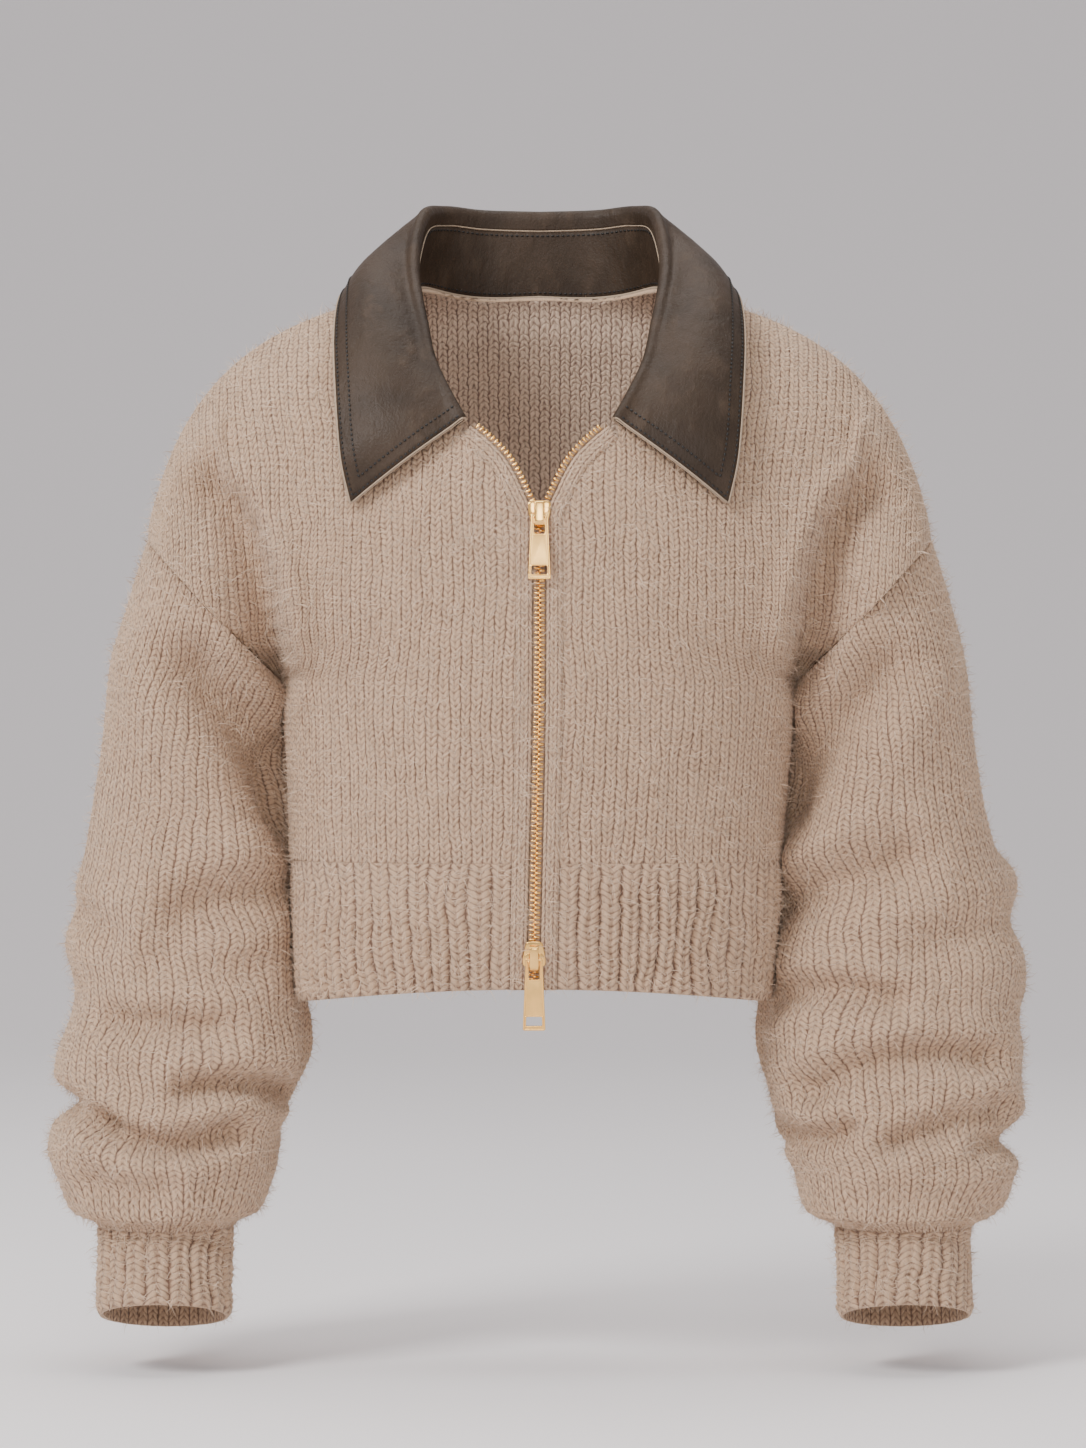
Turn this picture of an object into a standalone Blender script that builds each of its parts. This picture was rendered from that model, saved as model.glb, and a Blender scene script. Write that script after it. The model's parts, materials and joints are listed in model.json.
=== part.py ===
"""Cropped zip-up cardigan: brushed knit body and balloon sleeves, leather collar, two-way zip.

It hangs as it is worn, with no wearer in it: +Z is up, the front faces -Y and the wearer's left is +X.
The origin is where the neck meets the shoulders. Sizes are millimetres, and MM turns them to metres.
"""

import math

import bmesh
import bpy
import numpy as np
from mathutils import Matrix, Vector
from mathutils.bvhtree import BVHTree

MM = 0.001
FRONT, BACK = -1, 1
LEFT, RIGHT = 1, -1
SIDE_NAMES = {LEFT: "left", RIGHT: "right"}

KNIT = 3.0              # thickness of the knitted wall
LEATHER = 2.4           # two layers of leather and their interlining
SEAM = 0.3              # gap between pieces at a seam
RIB_RISE = 1.1          # a rib stands this far out of the wall, and its groove as far in
RIBS = {FRONT: 15, BACK: 16}    # ribs of the hem in each quarter
SLOPE_STEP = 0.012      # share of a panel over which its slope is read


def table(columns, *rows):
    """Named columns of numbers, with a row for each section or fold."""
    return dict(zip(columns.split(), np.array(rows, float).T))


def smooth_line(at, knots, values):
    """A smooth curve through the values at the knots."""
    at = np.clip(np.asarray(at, float), knots[0], knots[-1])
    slopes = np.gradient(values, knots)
    i = np.clip(np.searchsorted(knots, at, side="right") - 1, 0, len(knots) - 2)
    step = knots[i + 1] - knots[i]
    t = (at - knots[i]) / step
    return (
        (2 * t**3 - 3 * t**2 + 1) * values[i]
        + (t**3 - 2 * t**2 + t) * step * slopes[i]
        + (3 * t**2 - 2 * t**3) * values[i + 1]
        + (t**3 - t**2) * step * slopes[i + 1]
    )


def columns_at(at, knots, sections, *names):
    return [smooth_line(at, sections[knots], sections[name]) for name in names]


def ease(x, start, end):
    """0 before start, 1 after end, and smooth between them."""
    t = np.clip((np.asarray(x, float) - start) / (end - start), 0, 1)
    return t * t * (3 - 2 * t)


def unit(v):
    return v / np.maximum(np.linalg.norm(v, axis=-1, keepdims=True), 1e-9)


def points(x, y, z):
    return np.stack(np.broadcast_arrays(x, y, z), axis=-1).astype(float)


# ---------------------------------------------------------------- torso

UNDERARM_ROW = 0.28     # the side seam ends and the armhole starts here, on the way from rib to shoulder
HEM_ROW = -0.19         # the hem's lower edge
NECK_BACK_ROW = 0.90    # the back neck's lowest point
SHOULDER_TIP = np.array((270.0, 0.0, -166.0))
UNDERARM = np.array((178.0, 0.0, -262.0))
ARMHOLE_DEPTH = 68.0    # half of the armhole's width from front to back
ARMHOLE_CENTRE = (SHOULDER_TIP + UNDERARM) / 2
ARMHOLE_REACH = (SHOULDER_TIP - UNDERARM) / 2
ARM_WAY = unit(np.array((ARMHOLE_REACH[2], 0.0, -ARMHOLE_REACH[0])))
SHOULDER_WAY = unit(np.array((20.0, 0.0, -126.0)))
NECK_WIDTH, NECK_DEPTH, NECK_SQUARE = 84.0, 80.0, 2.6

CENTRE = {
    FRONT: table(
        "row depth height handle",
        (-0.19, 107, -470, 100), (-0.10, 110, -430, 102), (0.00, 112, -386, 104), (0.13, 117, -328, 106),
        (0.28, 119.5, -262, 108), (0.40, 119, -209, 106), (0.50, 115.5, -165, 102), (0.58, 110, -130, 98),
        (0.66, 100.5, -97, 96), (0.74, 85, -66, 102), (0.82, 64, -38, 120), (0.90, 38, -14, 145), (1.00, 0, 14, 175),
    ),
    BACK: table(
        "row depth height handle",
        (-0.19, 96, -480, 100), (-0.10, 100, -434, 102), (0.00, 103, -386, 104), (0.13, 109, -328, 106),
        (0.28, 117, -262, 108), (0.40, 123, -209, 108), (0.52, 126, -156, 106), (0.62, 123, -112, 104),
        (0.70, 116, -77, 104), (0.78, 105, -44, 108), (0.84, 93.5, -19, 114), (0.90, 80, 9, 122),
        (0.95, 48, 20, 145), (1.00, 0, 14, 175),
    ),
}
SIDE = table(
    "row width height",
    (-0.19, 164, -483), (-0.10, 167.5, -436), (0.00, 169.5, -386), (0.13, 173, -328), (0.28, 178, -262),
)
LEAN = 4.0              # the hem hangs this far towards the wearer's right
ARMPIT = table(
    "height across depth width",
    (-310, 178, 0, 12), (-262, 180, 11, 14), (-200, 188, 12, 15), (-140, 201, 7, 18), (-80, 210, 0, 22),
)


def armhole(angle):
    """A point of the armhole, from 0 at the shoulder tip by the front (or back) to pi at the underarm."""
    around = np.asarray(angle, float)[..., None]
    return ARMHOLE_CENTRE + np.cos(around) * ARMHOLE_REACH + np.sin(around) * np.array((0, ARMHOLE_DEPTH, 0))


def armhole_share(row):
    return np.clip((np.asarray(row, float) - UNDERARM_ROW) / (1 - UNDERARM_ROW), 0, 1)


def armpit(place):
    """The hollow between chest and arm, which deepens towards the underarm."""
    across, depth, width = columns_at(place[..., 2], "height", ARMPIT, "across", "depth", "width")
    y = place[..., 1]
    sunk = depth * np.exp(-(((np.abs(place[..., 0]) - across) / width) ** 2)) * np.abs(y) / (np.abs(y) + 22)
    moved = place.copy()
    moved[..., 1] -= np.sign(y) * sunk
    return moved


def lean(place):
    moved = place.copy()
    moved[..., 0] -= LEAN * ease(-place[..., 2], 230, 520) * 1.1
    return moved


def torso(across, row, face, side=LEFT):
    """Outer face of the torso. across is 0 at the centre line and 1 at the side seam or armhole.

    Each row is one curve, from the centre line to the side seam below the underarm, and to the
    armhole above it, read at an even pace along its length.
    """
    across, row = np.broadcast_arrays(np.asarray(across, float), np.asarray(row, float))
    depth, height, handle = columns_at(row, "row", CENTRE[face], "depth", "height", "handle")
    width, low = columns_at(row, "row", SIDE, "width", "height")
    share = armhole_share(row)
    above = (row > UNDERARM_ROW)[..., None]
    end = np.where(above, armhole(np.pi * (1 - share)) * (1, face, 1), points(width, 0, low))
    round_side = np.clip(1 - share / 0.65, 0, 1)[..., None] ** 1.5
    over_arm = ease(share, 0.45, 1)[..., None]
    way = (1 - over_arm) * ARM_WAY + over_arm * SHOULDER_WAY
    way = unit(round_side * np.array((0, -face, 0)) + (1 - round_side) * way)
    pull = np.interp(share, (0, 0.12, 0.5, 1), (63, 58, 88, 127.6))[..., None]
    start = points(0, face * depth, height)
    first = start + points(handle, 0, -6 * share**4)
    second = end - pull * way
    steps = np.linspace(0, 1, 25)
    line = bezier(start[..., None, :], first[..., None, :], second[..., None, :], end[..., None, :], steps)
    run = np.concatenate(
        [np.zeros(line.shape[:-2] + (1,)), np.linalg.norm(np.diff(line, axis=-2), axis=-1).cumsum(-1)], axis=-1
    )
    wanted = across * run[..., -1]
    i = np.clip((run <= wanted[..., None]).sum(-1) - 1, 0, len(steps) - 2)
    before = np.take_along_axis(run, i[..., None], -1)[..., 0]
    after = np.take_along_axis(run, i[..., None] + 1, -1)[..., 0]
    t = (i + (wanted - before) / np.maximum(after - before, 1e-9)) / (len(steps) - 1)
    return lean(armpit(bezier(start, first, second, end, t)) * (side, 1, 1))


def bezier(a, b, c, d, t):
    t = np.asarray(t, float)[..., None]
    return (1 - t) ** 3 * a + 3 * t * (1 - t) ** 2 * b + 3 * t * t * (1 - t) * c + t**3 * d


def torso_normal(across, row, face, side=LEFT):
    step = SLOPE_STEP
    low, high = np.clip(across - step, 0, 1), np.clip(across + step, 0, 1)
    along = torso(high, row, face, side) - torso(low, row, face, side)
    down = np.clip(row - step, HEM_ROW, 1)
    up = np.clip(row + step, HEM_ROW, 1)
    rise = torso(across, up, face, side) - torso(across, down, face, side)
    normal = unit(np.cross(along, rise)) * (-face * side)
    return unit(normal * np.where((across <= 0)[..., None], (0, 1, 1), 1))


def find_on_front(x, z, side):
    """(across, row) of the point of the front's outer face that shows at x, z from straight ahead."""
    x, z = np.asarray(x, float), np.asarray(z, float)
    across = np.clip(np.abs(x) / 230, 0.01, 0.99)
    row = np.interp(z, CENTRE[FRONT]["height"], CENTRE[FRONT]["row"])
    step = 1e-3
    for _ in range(12):
        here = torso(across, row, FRONT, side)
        d_across = (torso(across + step, row, FRONT, side) - here) / step
        d_row = (torso(across, row + step, FRONT, side) - here) / step
        error_x, error_z = x - here[..., 0], z - here[..., 2]
        det = d_across[..., 0] * d_row[..., 2] - d_row[..., 0] * d_across[..., 2]
        across = np.clip(across + (error_x * d_row[..., 2] - error_z * d_row[..., 0]) / det, -0.05, 0.98)
        row = np.clip(row + (error_z * d_across[..., 0] - error_x * d_across[..., 2]) / det, HEM_ROW, 0.97)
    return across, row


# ---------------------------------------------------------------- zip line, bands and neckline

ZIP_LINE = table(
    "along x z",       # the teeth of one side, from the hem to their top end, for the left side
    (0, 0, -470.5), (150, 0, -320.5), (300, 0, -170.5), (318, 0, -152.5),
    (323, 1.2, -147.5), (327, 3.0, -143.5), (335.5, 6.7, -135.5), (348.5, 12.4, -123.5),
    (361, 19.0, -112.5), (374, 28.0, -102.5), (387.5, 38.0, -93.5), (394, 43.0, -89.3),
)
BAND = (4.6, 15.6)      # inner and outer edge of the knitted band beside the teeth
PANEL_EDGE = BAND[1] + SEAM
FRONT_NECK = table(
    "x z",
    (52.5, -92), (63, -77), (73, -59), (80, -37), (83.3, -14),
)
PANEL_ROWS = np.array((
    0, 0.07, 0.14, 0.21, 0.28, 0.35, 0.42, 0.48, 0.53, 0.56, 0.585, 0.61,
    0.635, 0.66, 0.69, 0.73, 0.78, 0.83, 0.88, 0.94, 1.0,
))
RIB_ROWS = np.array((HEM_ROW, -0.03, 0.0))


def zip_at(along, side, offset=0.0):
    """(x, z) beside the zip line, offset away from the opening, before the hem's lean."""
    along = np.asarray(along, float)
    x, z = columns_at(along, "along", ZIP_LINE, "x", "z")
    x = np.maximum(x, 0)
    x2, z2 = columns_at(along + 0.5, "along", ZIP_LINE, "x", "z")
    x1, z1 = columns_at(along - 0.5, "along", ZIP_LINE, "x", "z")
    run = np.hypot(x2 - x1, z2 - z1)
    away_x, away_z = (z2 - z1) / run, -(x2 - x1) / run
    return side * (x + offset * away_x), z + offset * away_z


def beside_zip(along, side, offset=0.0):
    """(across, row) on the front's face at that offset from the zip line."""
    x, z = zip_at(along, side, offset)
    leaning = lean(points(0, 0, z))[..., 0]
    return find_on_front(x + leaning, z, side)


def stations(side):
    """Distances along the zip line at which the panel's edge crosses the rows of rib and panel."""
    along = np.linspace(0, ZIP_LINE["along"][-1], 200)
    _, row = beside_zip(along, side, PANEL_EDGE)
    wanted = [r for r in (*RIB_ROWS, *panel_rows(side)) if row[0] < r < row[-1] - 1e-4]
    return np.concatenate([[0.0], np.interp(wanted, row, along), [along[-1]]])


def panel_rows(side):
    """The front's rows, one of them moved to where the band ends."""
    _, end = beside_zip(np.array([ZIP_LINE["along"][-1]]), side, PANEL_EDGE)
    rows = PANEL_ROWS.copy()
    rows[np.argmin(np.abs(rows - end[0]))] = end[0]
    return rows


def front_start(side):
    """(row, across) of the front's free edge, up the band and round the neck to the shoulder seam."""
    along = np.linspace(0, ZIP_LINE["along"][-1], 120)
    across, row = beside_zip(along, side, PANEL_EDGE)
    neck_across, neck_row = find_on_front(side * FRONT_NECK["x"], FRONT_NECK["z"], side)
    end = across_at_width(1.0, FRONT, side, NECK_WIDTH)
    return np.concatenate([row, neck_row, [1.0]]), np.concatenate([across, neck_across, [end]])


def across_at_width(row, face, side, width):
    tries = np.linspace(0, 1, 400)
    x = np.abs(torso(tries, row, face, side)[..., 0])
    return float(np.interp(width, x, tries))


def back_start(row, side):
    """across of the back neck's edge on a row above its lowest point."""
    tries = np.linspace(0, 0.6, 600)
    place = torso(tries, row, BACK, side)
    size = (np.abs(place[:, 0]) / NECK_WIDTH) ** NECK_SQUARE + (np.abs(place[:, 1]) / NECK_DEPTH) ** NECK_SQUARE
    return float(np.interp(1.0, size, tries)) if row > NECK_BACK_ROW else 0.0


# ---------------------------------------------------------------- walls


def sheet_cells(rows, columns, start=0):
    """Four-sided cells of a grid whose points are numbered row by row."""
    return [
        (start + r * columns + c, start + r * columns + c + 1, start + (r + 1) * columns + c + 1,
         start + (r + 1) * columns + c)
        for r in range(rows - 1)
        for c in range(columns - 1)
    ]


def tube_cells(rings, around):
    return [
        (r * around + c, r * around + (c + 1) % around, (r + 1) * around + (c + 1) % around, (r + 1) * around + c)
        for r in range(rings - 1)
        for c in range(around)
    ]


def merge(outer, inner, cells):
    """Points that coincide made one."""
    _, first, index = np.unique(np.round(outer, 3), axis=0, return_index=True, return_inverse=True)
    index = index.reshape(-1)
    kept = []
    for cell in cells:
        corners = list(dict.fromkeys(int(index[c]) for c in cell))
        if len(corners) > 2:
            kept.append(tuple(corners))
    return outer[first], inner[first], kept


def wall(name, outer, inner, cells, finish):
    """A closed wall between an outer and an inner face, joined round every free edge."""
    outer, inner, cells = merge(outer.reshape(-1, 3), inner.reshape(-1, 3), cells)
    facing = sum(
        np.dot(np.cross(outer[c[1]] - outer[c[0]], outer[c[2]] - outer[c[0]]), outer[c[0]] - inner[c[0]])
        for c in cells
    )
    if facing < 0:
        cells = [cell[::-1] for cell in cells]
    count = len(outer)
    edges = {(cell[k], cell[(k + 1) % len(cell)]) for cell in cells for k in range(len(cell))}
    free = [(a, b) for a, b in sorted(edges) if (b, a) not in edges]
    faces = list(cells) + [tuple(c + count for c in cell[::-1]) for cell in cells]
    faces += [(b, a, a + count, b + count) for a, b in free]
    return mesh_object(name, np.concatenate([outer, inner]), faces, finish)


def mesh_object(name, vertices, faces, finish):
    mesh = bpy.data.meshes.new(name)
    mesh.from_pydata((np.asarray(vertices) * MM).tolist(), [], faces)
    mesh.materials.append(finish)
    obj = bpy.data.objects.new(name, mesh)
    bpy.data.collections[COLLECTION].objects.link(obj)
    mesh.update()
    return obj


def prism(name, sections, finish):
    """A closed solid through sections of the same number of points, capped at both ends."""
    count, size = len(sections), len(sections[0])
    faces = tube_cells(count, size) + [tuple(range(size))[::-1], tuple(range((count - 1) * size, count * size))]
    obj = mesh_object(name, np.concatenate(sections), faces, finish)
    outward(obj)
    return obj


def outward(obj):
    shape = bmesh.new()
    shape.from_mesh(obj.data)
    bmesh.ops.triangulate(shape, faces=[f for f in shape.faces if len(f.verts) > 4])
    bmesh.ops.recalc_face_normals(shape, faces=shape.faces)
    shape.to_mesh(obj.data)
    shape.free()


# ---------------------------------------------------------------- knitted panels

PANEL_COLUMNS = 10


def panel_half(face, side, rows, starts, columns=PANEL_COLUMNS):
    """Outer and inner points of half a torso panel, with its seams kept SEAM apart."""
    share = np.linspace(0, 1, columns + 1)
    across = np.array(starts)[:, None] + (1 - np.array(starts))[:, None] * share
    row = np.repeat(np.asarray(rows)[:, None], columns + 1, axis=1)
    outer = torso(across, row, face, side)
    normal = torso_normal(across, row, face, side)
    turn = np.array((side, 1, 1))
    at_side = row[:, -1] <= UNDERARM_ROW
    flat = unit(normal[:, -1] * (1, 0, 1))
    normal[:, -1] = np.where(at_side[:, None], flat, kept_behind(normal[:, -1], -ARM_WAY * turn))
    outer[:, -1, 1] = np.where(at_side, face * SEAM / 2, outer[:, -1, 1])
    outer[:, -1] -= np.where(at_side[:, None], 0, SEAM / 2 * ARM_WAY * turn)
    if rows[-1] == 1:
        normal[-1] = unit(normal[-1] * (1, 0, 1))
        outer[-1, :, 1] = face * SEAM / 2
    for end, way in ((0, 1), (-1, -1)):
        if rows[end] == 0:
            normal[end] = unit(normal[end] * (1, 1, 0))
            outer[end, :, 2] += way * SEAM / 2
    return outer, normal


def kept_behind(normal, way):
    """Normals turned so that a wall's edge doesn't reach past the seam's plane, which faces way."""
    over = np.clip(normal @ way, 0, None)[..., None]
    return unit(normal - over * way)


def front(side, finish):
    rows_at, across_at = front_start(side)
    rows = panel_rows(side)
    starts = np.interp(rows, rows_at, across_at)
    outer, normal = panel_half(FRONT, side, rows, starts)
    edge_normals(outer, normal, side)
    return wall(f"front_{SIDE_NAMES[side]}", outer, outer - KNIT * normal, sheet_cells(*outer.shape[:2]), finish)


def edge_normals(outer, normal, side):
    """Beside the band the wall's edge stands square to the zip line's own face."""
    along = stations(side)
    across, row = beside_zip(along, side)
    there = torso_normal(np.clip(across, 0, 1), row, FRONT, side)
    for k, z in enumerate(outer[:, 0, 2]):
        edge_x, edge_z = zip_at(along, side, PANEL_EDGE)
        if z < edge_z[-1] + 2:
            normal[k, 0] = unit(np.array([np.interp(z, edge_z, there[:, c]) for c in range(3)]))


def back(finish):
    above = NECK_BACK_ROW + (1 - NECK_BACK_ROW) * (np.arange(1, 6) / 5) ** 2
    rows = np.concatenate([np.linspace(0, NECK_BACK_ROW, 15), above])
    halves = []
    for side in (LEFT, RIGHT):
        halves.append(panel_half(BACK, side, rows, [back_start(r, side) for r in rows]))
    size = halves[0][0].shape[:2]
    cells = sheet_cells(*size)
    cells += [cell[::-1] for cell in sheet_cells(*size, start=size[0] * size[1])]
    outer = np.concatenate([h[0].reshape(-1, 3) for h in halves])
    normal = np.concatenate([h[1].reshape(-1, 3) for h in halves])
    return wall("back", outer, outer - KNIT * normal, cells, finish)


def rib_columns(ribs):
    """Share of the way round of each rib's groove and its two shoulders, with the rise of each."""
    share, rise = [0.0], [-1.0]
    for k in range(ribs):
        share += [(k + step) / ribs for step in (0.28, 0.72, 1)]
        rise += [1.0, 1.0, -1.0]
    return np.array(share), np.array(rise)


def hem_rib(face, side):
    """Outer points and inner points of a quarter of the hem rib."""
    starts = np.zeros(len(RIB_ROWS))
    if face == FRONT:
        starts = np.interp(RIB_ROWS, *front_start(side))
    share, rise = rib_columns(RIBS[face])
    across = starts[:, None] + (1 - starts[:, None]) * share
    row = np.repeat(RIB_ROWS[:, None], len(share), axis=1)
    outer, normal = panel_points(across, row, face, side)
    if face == FRONT:
        edge_normals(outer, normal, side)
    fade = np.array((1, 1, 0))[:, None]
    raised = outer + (rise[None, :] * fade * RIB_RISE)[..., None] * normal
    return raised, outer - KNIT * normal


def panel_points(across, row, face, side):
    outer = torso(across, row, face, side)
    normal = torso_normal(across, row, face, side)
    outer[:, -1, 1] = face * SEAM / 2
    normal[:, -1] = unit(normal[:, -1] * (1, 0, 1))
    normal[-1] = unit(normal[-1] * (1, 1, 0))
    outer[-1, :, 2] -= SEAM / 2
    return outer, normal


def front_rib(side, finish):
    outer, inner = hem_rib(FRONT, side)
    return wall(f"hem_rib_{SIDE_NAMES[side]}", outer, inner, sheet_cells(*outer.shape[:2]), finish)


def back_rib(finish):
    halves = [hem_rib(BACK, side) for side in (LEFT, RIGHT)]
    size = halves[0][0].shape[:2]
    cells = sheet_cells(*size)
    cells += [cell[::-1] for cell in sheet_cells(*size, start=size[0] * size[1])]
    outer, inner = (np.concatenate([h[k].reshape(-1, 3) for h in halves]) for k in (0, 1))
    return wall("hem_rib_back", outer, inner, cells, finish)


# ---------------------------------------------------------------- sleeves and cuffs

SLEEVE = {
    LEFT: table(
        "outer_x outer_z inner_x inner_z centre_y depth",
        (270, -166, 178, -262, 0, 68), (283, -207, 181.5, -280, 4, 70), (290, -235, 184, -303, 9, 71),
        (297, -276, 183, -326, 15, 72), (304, -317, 180, -352, 20, 72), (312, -359, 177, -380, 24, 72),
        (325, -400, 175, -411, 26, 73), (334, -442, 173, -445, 26, 75), (334, -483, 167, -483, 23, 77),
        (333, -524, 163, -524, 16, 78), (330, -552, 165, -552, 10, 77), (321, -574, 168, -574, 5, 74),
        (327, -594, 175, -594, 0, 72), (320, -612, 180, -611, -6, 66), (304, -626, 192, -625, -11, 55),
        (297, -637, 203, -637, -14, 46.5),
    ),
    RIGHT: table(
        "outer_x outer_z inner_x inner_z centre_y depth",
        (270, -166, 178, -262, 0, 68), (283, -207, 182.5, -280, 4, 70), (290, -235, 185.5, -303, 9, 71),
        (299, -276, 185, -326, 15, 72), (306, -317, 183, -352, 20, 72), (314, -359, 182, -380, 24, 72),
        (320, -400, 181, -411, 26, 73), (326, -442, 179.5, -445, 26, 75), (322, -483, 176, -483, 23, 77),
        (334, -524, 169, -524, 16, 78), (326, -552, 175, -552, 10, 76), (338, -580, 181, -580, 4, 74),
        (334, -598, 182, -598, -1, 71), (322, -614, 190, -613, -6, 64), (308, -626, 203, -625, -11, 54),
        (303, -637, 210, -637, -14, 46.5),
    ),
}
FOLD_DEPTH = 1.0
FOLDS = {               # troughs as they show from the front: ends and middle, depth and half width
    LEFT: table(
        "x1 z1 x2 z2 x3 z3 depth width",
        (172, -424, 212, -400, 250, -381, 6, 15), (188, -480, 224, -473, 252, -481, 6, 9),
        (220, -531, 258, -516, 302, -520, 8, 10), (186, -569, 202, -564, 230, -567, 7, 8),
        (241, -578, 268, -569, 290, -554, 7, 8), (300, -577, 316, -577, 330, -577, 6, 8),
        (215, -611, 262, -613, 306, -616, 5, 6), (250, -436, 285, -428, 320, -425, 4, 12),
    ),
    RIGHT: table(
        "x1 z1 x2 z2 x3 z3 depth width",
        (177, -440, 216, -434, 258, -425, 6, 15), (224, -497, 255, -497, 286, -506, 7, 9),
        (188, -537, 210, -541, 236, -543, 8, 8), (296, -562, 306, -558, 320, -556, 7, 8),
        (190, -582, 231, -572, 272, -570, 9, 9), (253, -604, 278, -607, 306, -603, 5, 7),
        (293, -436, 304, -430, 313, -425, 5, 10), (176, -356, 192, -316, 212, -277, 5, 16),
    ),
}
SLEEVE_AROUND, SLEEVE_RINGS = 24, 29
CUFF_LENGTH, CUFF_TILT, CUFF_RIBS = 62.5, math.radians(17), 18
CUFF_TAPER = 0.97       # the cuff's free edge against its top
CUFF_ROWS = ((0.0, 0.3), (0.12, 1.0), (0.5, 1.0), (1.0, 0.9))     # share of the length, share of the rise


def sleeve(around, at, side):
    """Outer face of a sleeve: around is an angle from its outer line by the front."""
    sections = dict(SLEEVE[side], ring=np.arange(len(SLEEVE[side]["depth"]), dtype=float))
    around, at = np.broadcast_arrays(np.asarray(around, float), np.asarray(at, float))
    names = ("outer_x", "outer_z", "inner_x", "inner_z", "centre_y", "depth")
    ox, oz, ix, iz, cy, depth = columns_at(at, "ring", sections, *names)
    middle = points((ox + ix) / 2, cy, (oz + iz) / 2)
    reach = points((ox - ix) / 2, 0, (oz - iz) / 2)
    square = 2 + 0.3 * ease(at, 1, 6) * (1 - ease(at, 12, 15))
    c, s = np.cos(around), np.sin(around)
    size = (np.abs(c) ** square + np.abs(s) ** square) ** (-1 / square)
    place = middle + (size * c)[..., None] * reach + points(0, -size * s * depth, 0)
    place = armpit(place)
    inwards = unit(middle - place)
    place = place + folds(place, side)[..., None] * inwards
    return place * (side, 1, 1)


def folds(place, side):
    """How far each point sinks into the troughs of a sleeve; behind, they lie a little lower."""
    total = np.zeros(place.shape[:-1])
    behind = ease(place[..., 1], -5, 25)
    x = np.abs(place[..., 0])
    middle = 0.5 * (np.min(SLEEVE[side]["inner_x"]) + np.max(SLEEVE[side]["outer_x"]))
    x = x + behind * 2 * (middle - x)
    z = place[..., 2] + 12 * behind
    for k in range(len(FOLDS[side]["depth"])):
        f = {name: values[k] for name, values in FOLDS[side].items()}
        t = np.linspace(0, 1, 13)
        line_x = (1 - t) ** 2 * f["x1"] + 2 * t * (1 - t) * (2 * f["x2"] - (f["x1"] + f["x3"]) / 2) + t * t * f["x3"]
        line_z = (1 - t) ** 2 * f["z1"] + 2 * t * (1 - t) * (2 * f["z2"] - (f["z1"] + f["z3"]) / 2) + t * t * f["z3"]
        near = np.min((x[..., None] - line_x) ** 2 + (z[..., None] - line_z) ** 2, axis=-1)
        total = total + f["depth"] * np.exp(-near / f["width"] ** 2) - 0.35 * f["depth"] * np.exp(
            -((np.sqrt(near) - 2.2 * f["width"]) / f["width"]) ** 2
        )
    return total * FOLD_DEPTH * (1 - ease(z, -330, -260)) * (1 - ease(-z, 622, 636))


def sleeve_points(side, around, rings):
    turn = np.array((side, 1, 1))
    angle = np.linspace(0, 2 * np.pi, around, endpoint=False)
    at = np.linspace(0, 15, rings)
    grid_angle, grid_at = np.meshgrid(angle, at)
    outer = sleeve(grid_angle, grid_at, side)
    along = sleeve(grid_angle, np.clip(grid_at + 0.05, 0, 15), side) - sleeve(
        grid_angle, np.clip(grid_at - 0.05, 0, 15), side
    )
    turnwise = sleeve(grid_angle + 0.02, grid_at, side) - sleeve(grid_angle - 0.02, grid_at, side)
    normal = unit(np.cross(turnwise, along)) * side
    normal[0] = kept_behind(normal[0], ARM_WAY * turn)
    outer[0] = armpit(armhole(angle) * (1, -1, 1)) * turn + SEAM / 2 * ARM_WAY * turn
    outer[0] = lean(outer[0])
    normal[-1] = unit(normal[-1] * (1, 1, 0))
    outer[-1, :, 2] += SEAM / 2
    return outer, normal


def sleeve_wall(side, finish):
    outer, normal = sleeve_points(side, SLEEVE_AROUND, SLEEVE_RINGS)
    cells = tube_cells(SLEEVE_RINGS, SLEEVE_AROUND)
    return wall(f"sleeve_{SIDE_NAMES[side]}", outer, outer - KNIT * normal, cells, finish)


def cuff(side, finish):
    last = {name: values[-1] for name, values in SLEEVE[side].items()}
    centre = np.array(((last["outer_x"] + last["inner_x"]) / 2, last["centre_y"], last["outer_z"]))
    radius = (last["outer_x"] - last["inner_x"]) / 2
    angle, rise = [], []
    for k in range(CUFF_RIBS):
        angle += [(k + share) / CUFF_RIBS * 2 * np.pi for share in (0, 0.28, 0.72)]
        rise += [-1, 1, 1]
    angle, rise = np.array(angle), np.array(rise, float)
    outer, inner = [], []
    for down, raised in CUFF_ROWS:
        tilt = CUFF_TILT * ease(down, 0, 0.35)
        size = 1 - (1 - CUFF_TAPER) * ease(down, 0, 0.2)
        out = points(np.cos(angle), -np.sin(angle) * last["depth"] / radius, 0)
        tilted = out * (1, np.cos(tilt), 1) + points(0, 0, -out[..., 1] * np.sin(tilt))
        run = down * CUFF_LENGTH
        middle = centre + np.array((0, -run * np.sin(CUFF_TILT) * ease(down, 0, 0.5), -run * np.cos(tilt)))
        face = middle + tilted * radius * size
        normal = unit(tilted)
        outer.append(face + (rise * raised * RIB_RISE)[:, None] * normal)
        inner.append(face - KNIT * normal)
    outer, inner = np.array(outer) * (side, 1, 1), np.array(inner) * (side, 1, 1)
    outer[0, :, 2] -= SEAM / 2
    inner[0, :, 2] = outer[0, :, 2]
    cells = tube_cells(len(outer), len(angle))
    return wall(f"cuff_{SIDE_NAMES[side]}", outer, inner, cells, finish)

# ---------------------------------------------------------------- bands, tapes and the zip's face

BAND_SECTION = ((4.6, -3.0), (4.6, 0.2), (7.0, 0.8), (13.0, 0.8), (15.6, 0.0), (15.6, -3.0))
TAPE_SECTION = ((0.3, -4.9), (0.3, 0.5), (4.1, 0.5), (4.1, -3.4), (14.0, -3.4), (14.0, -4.9))


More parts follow.
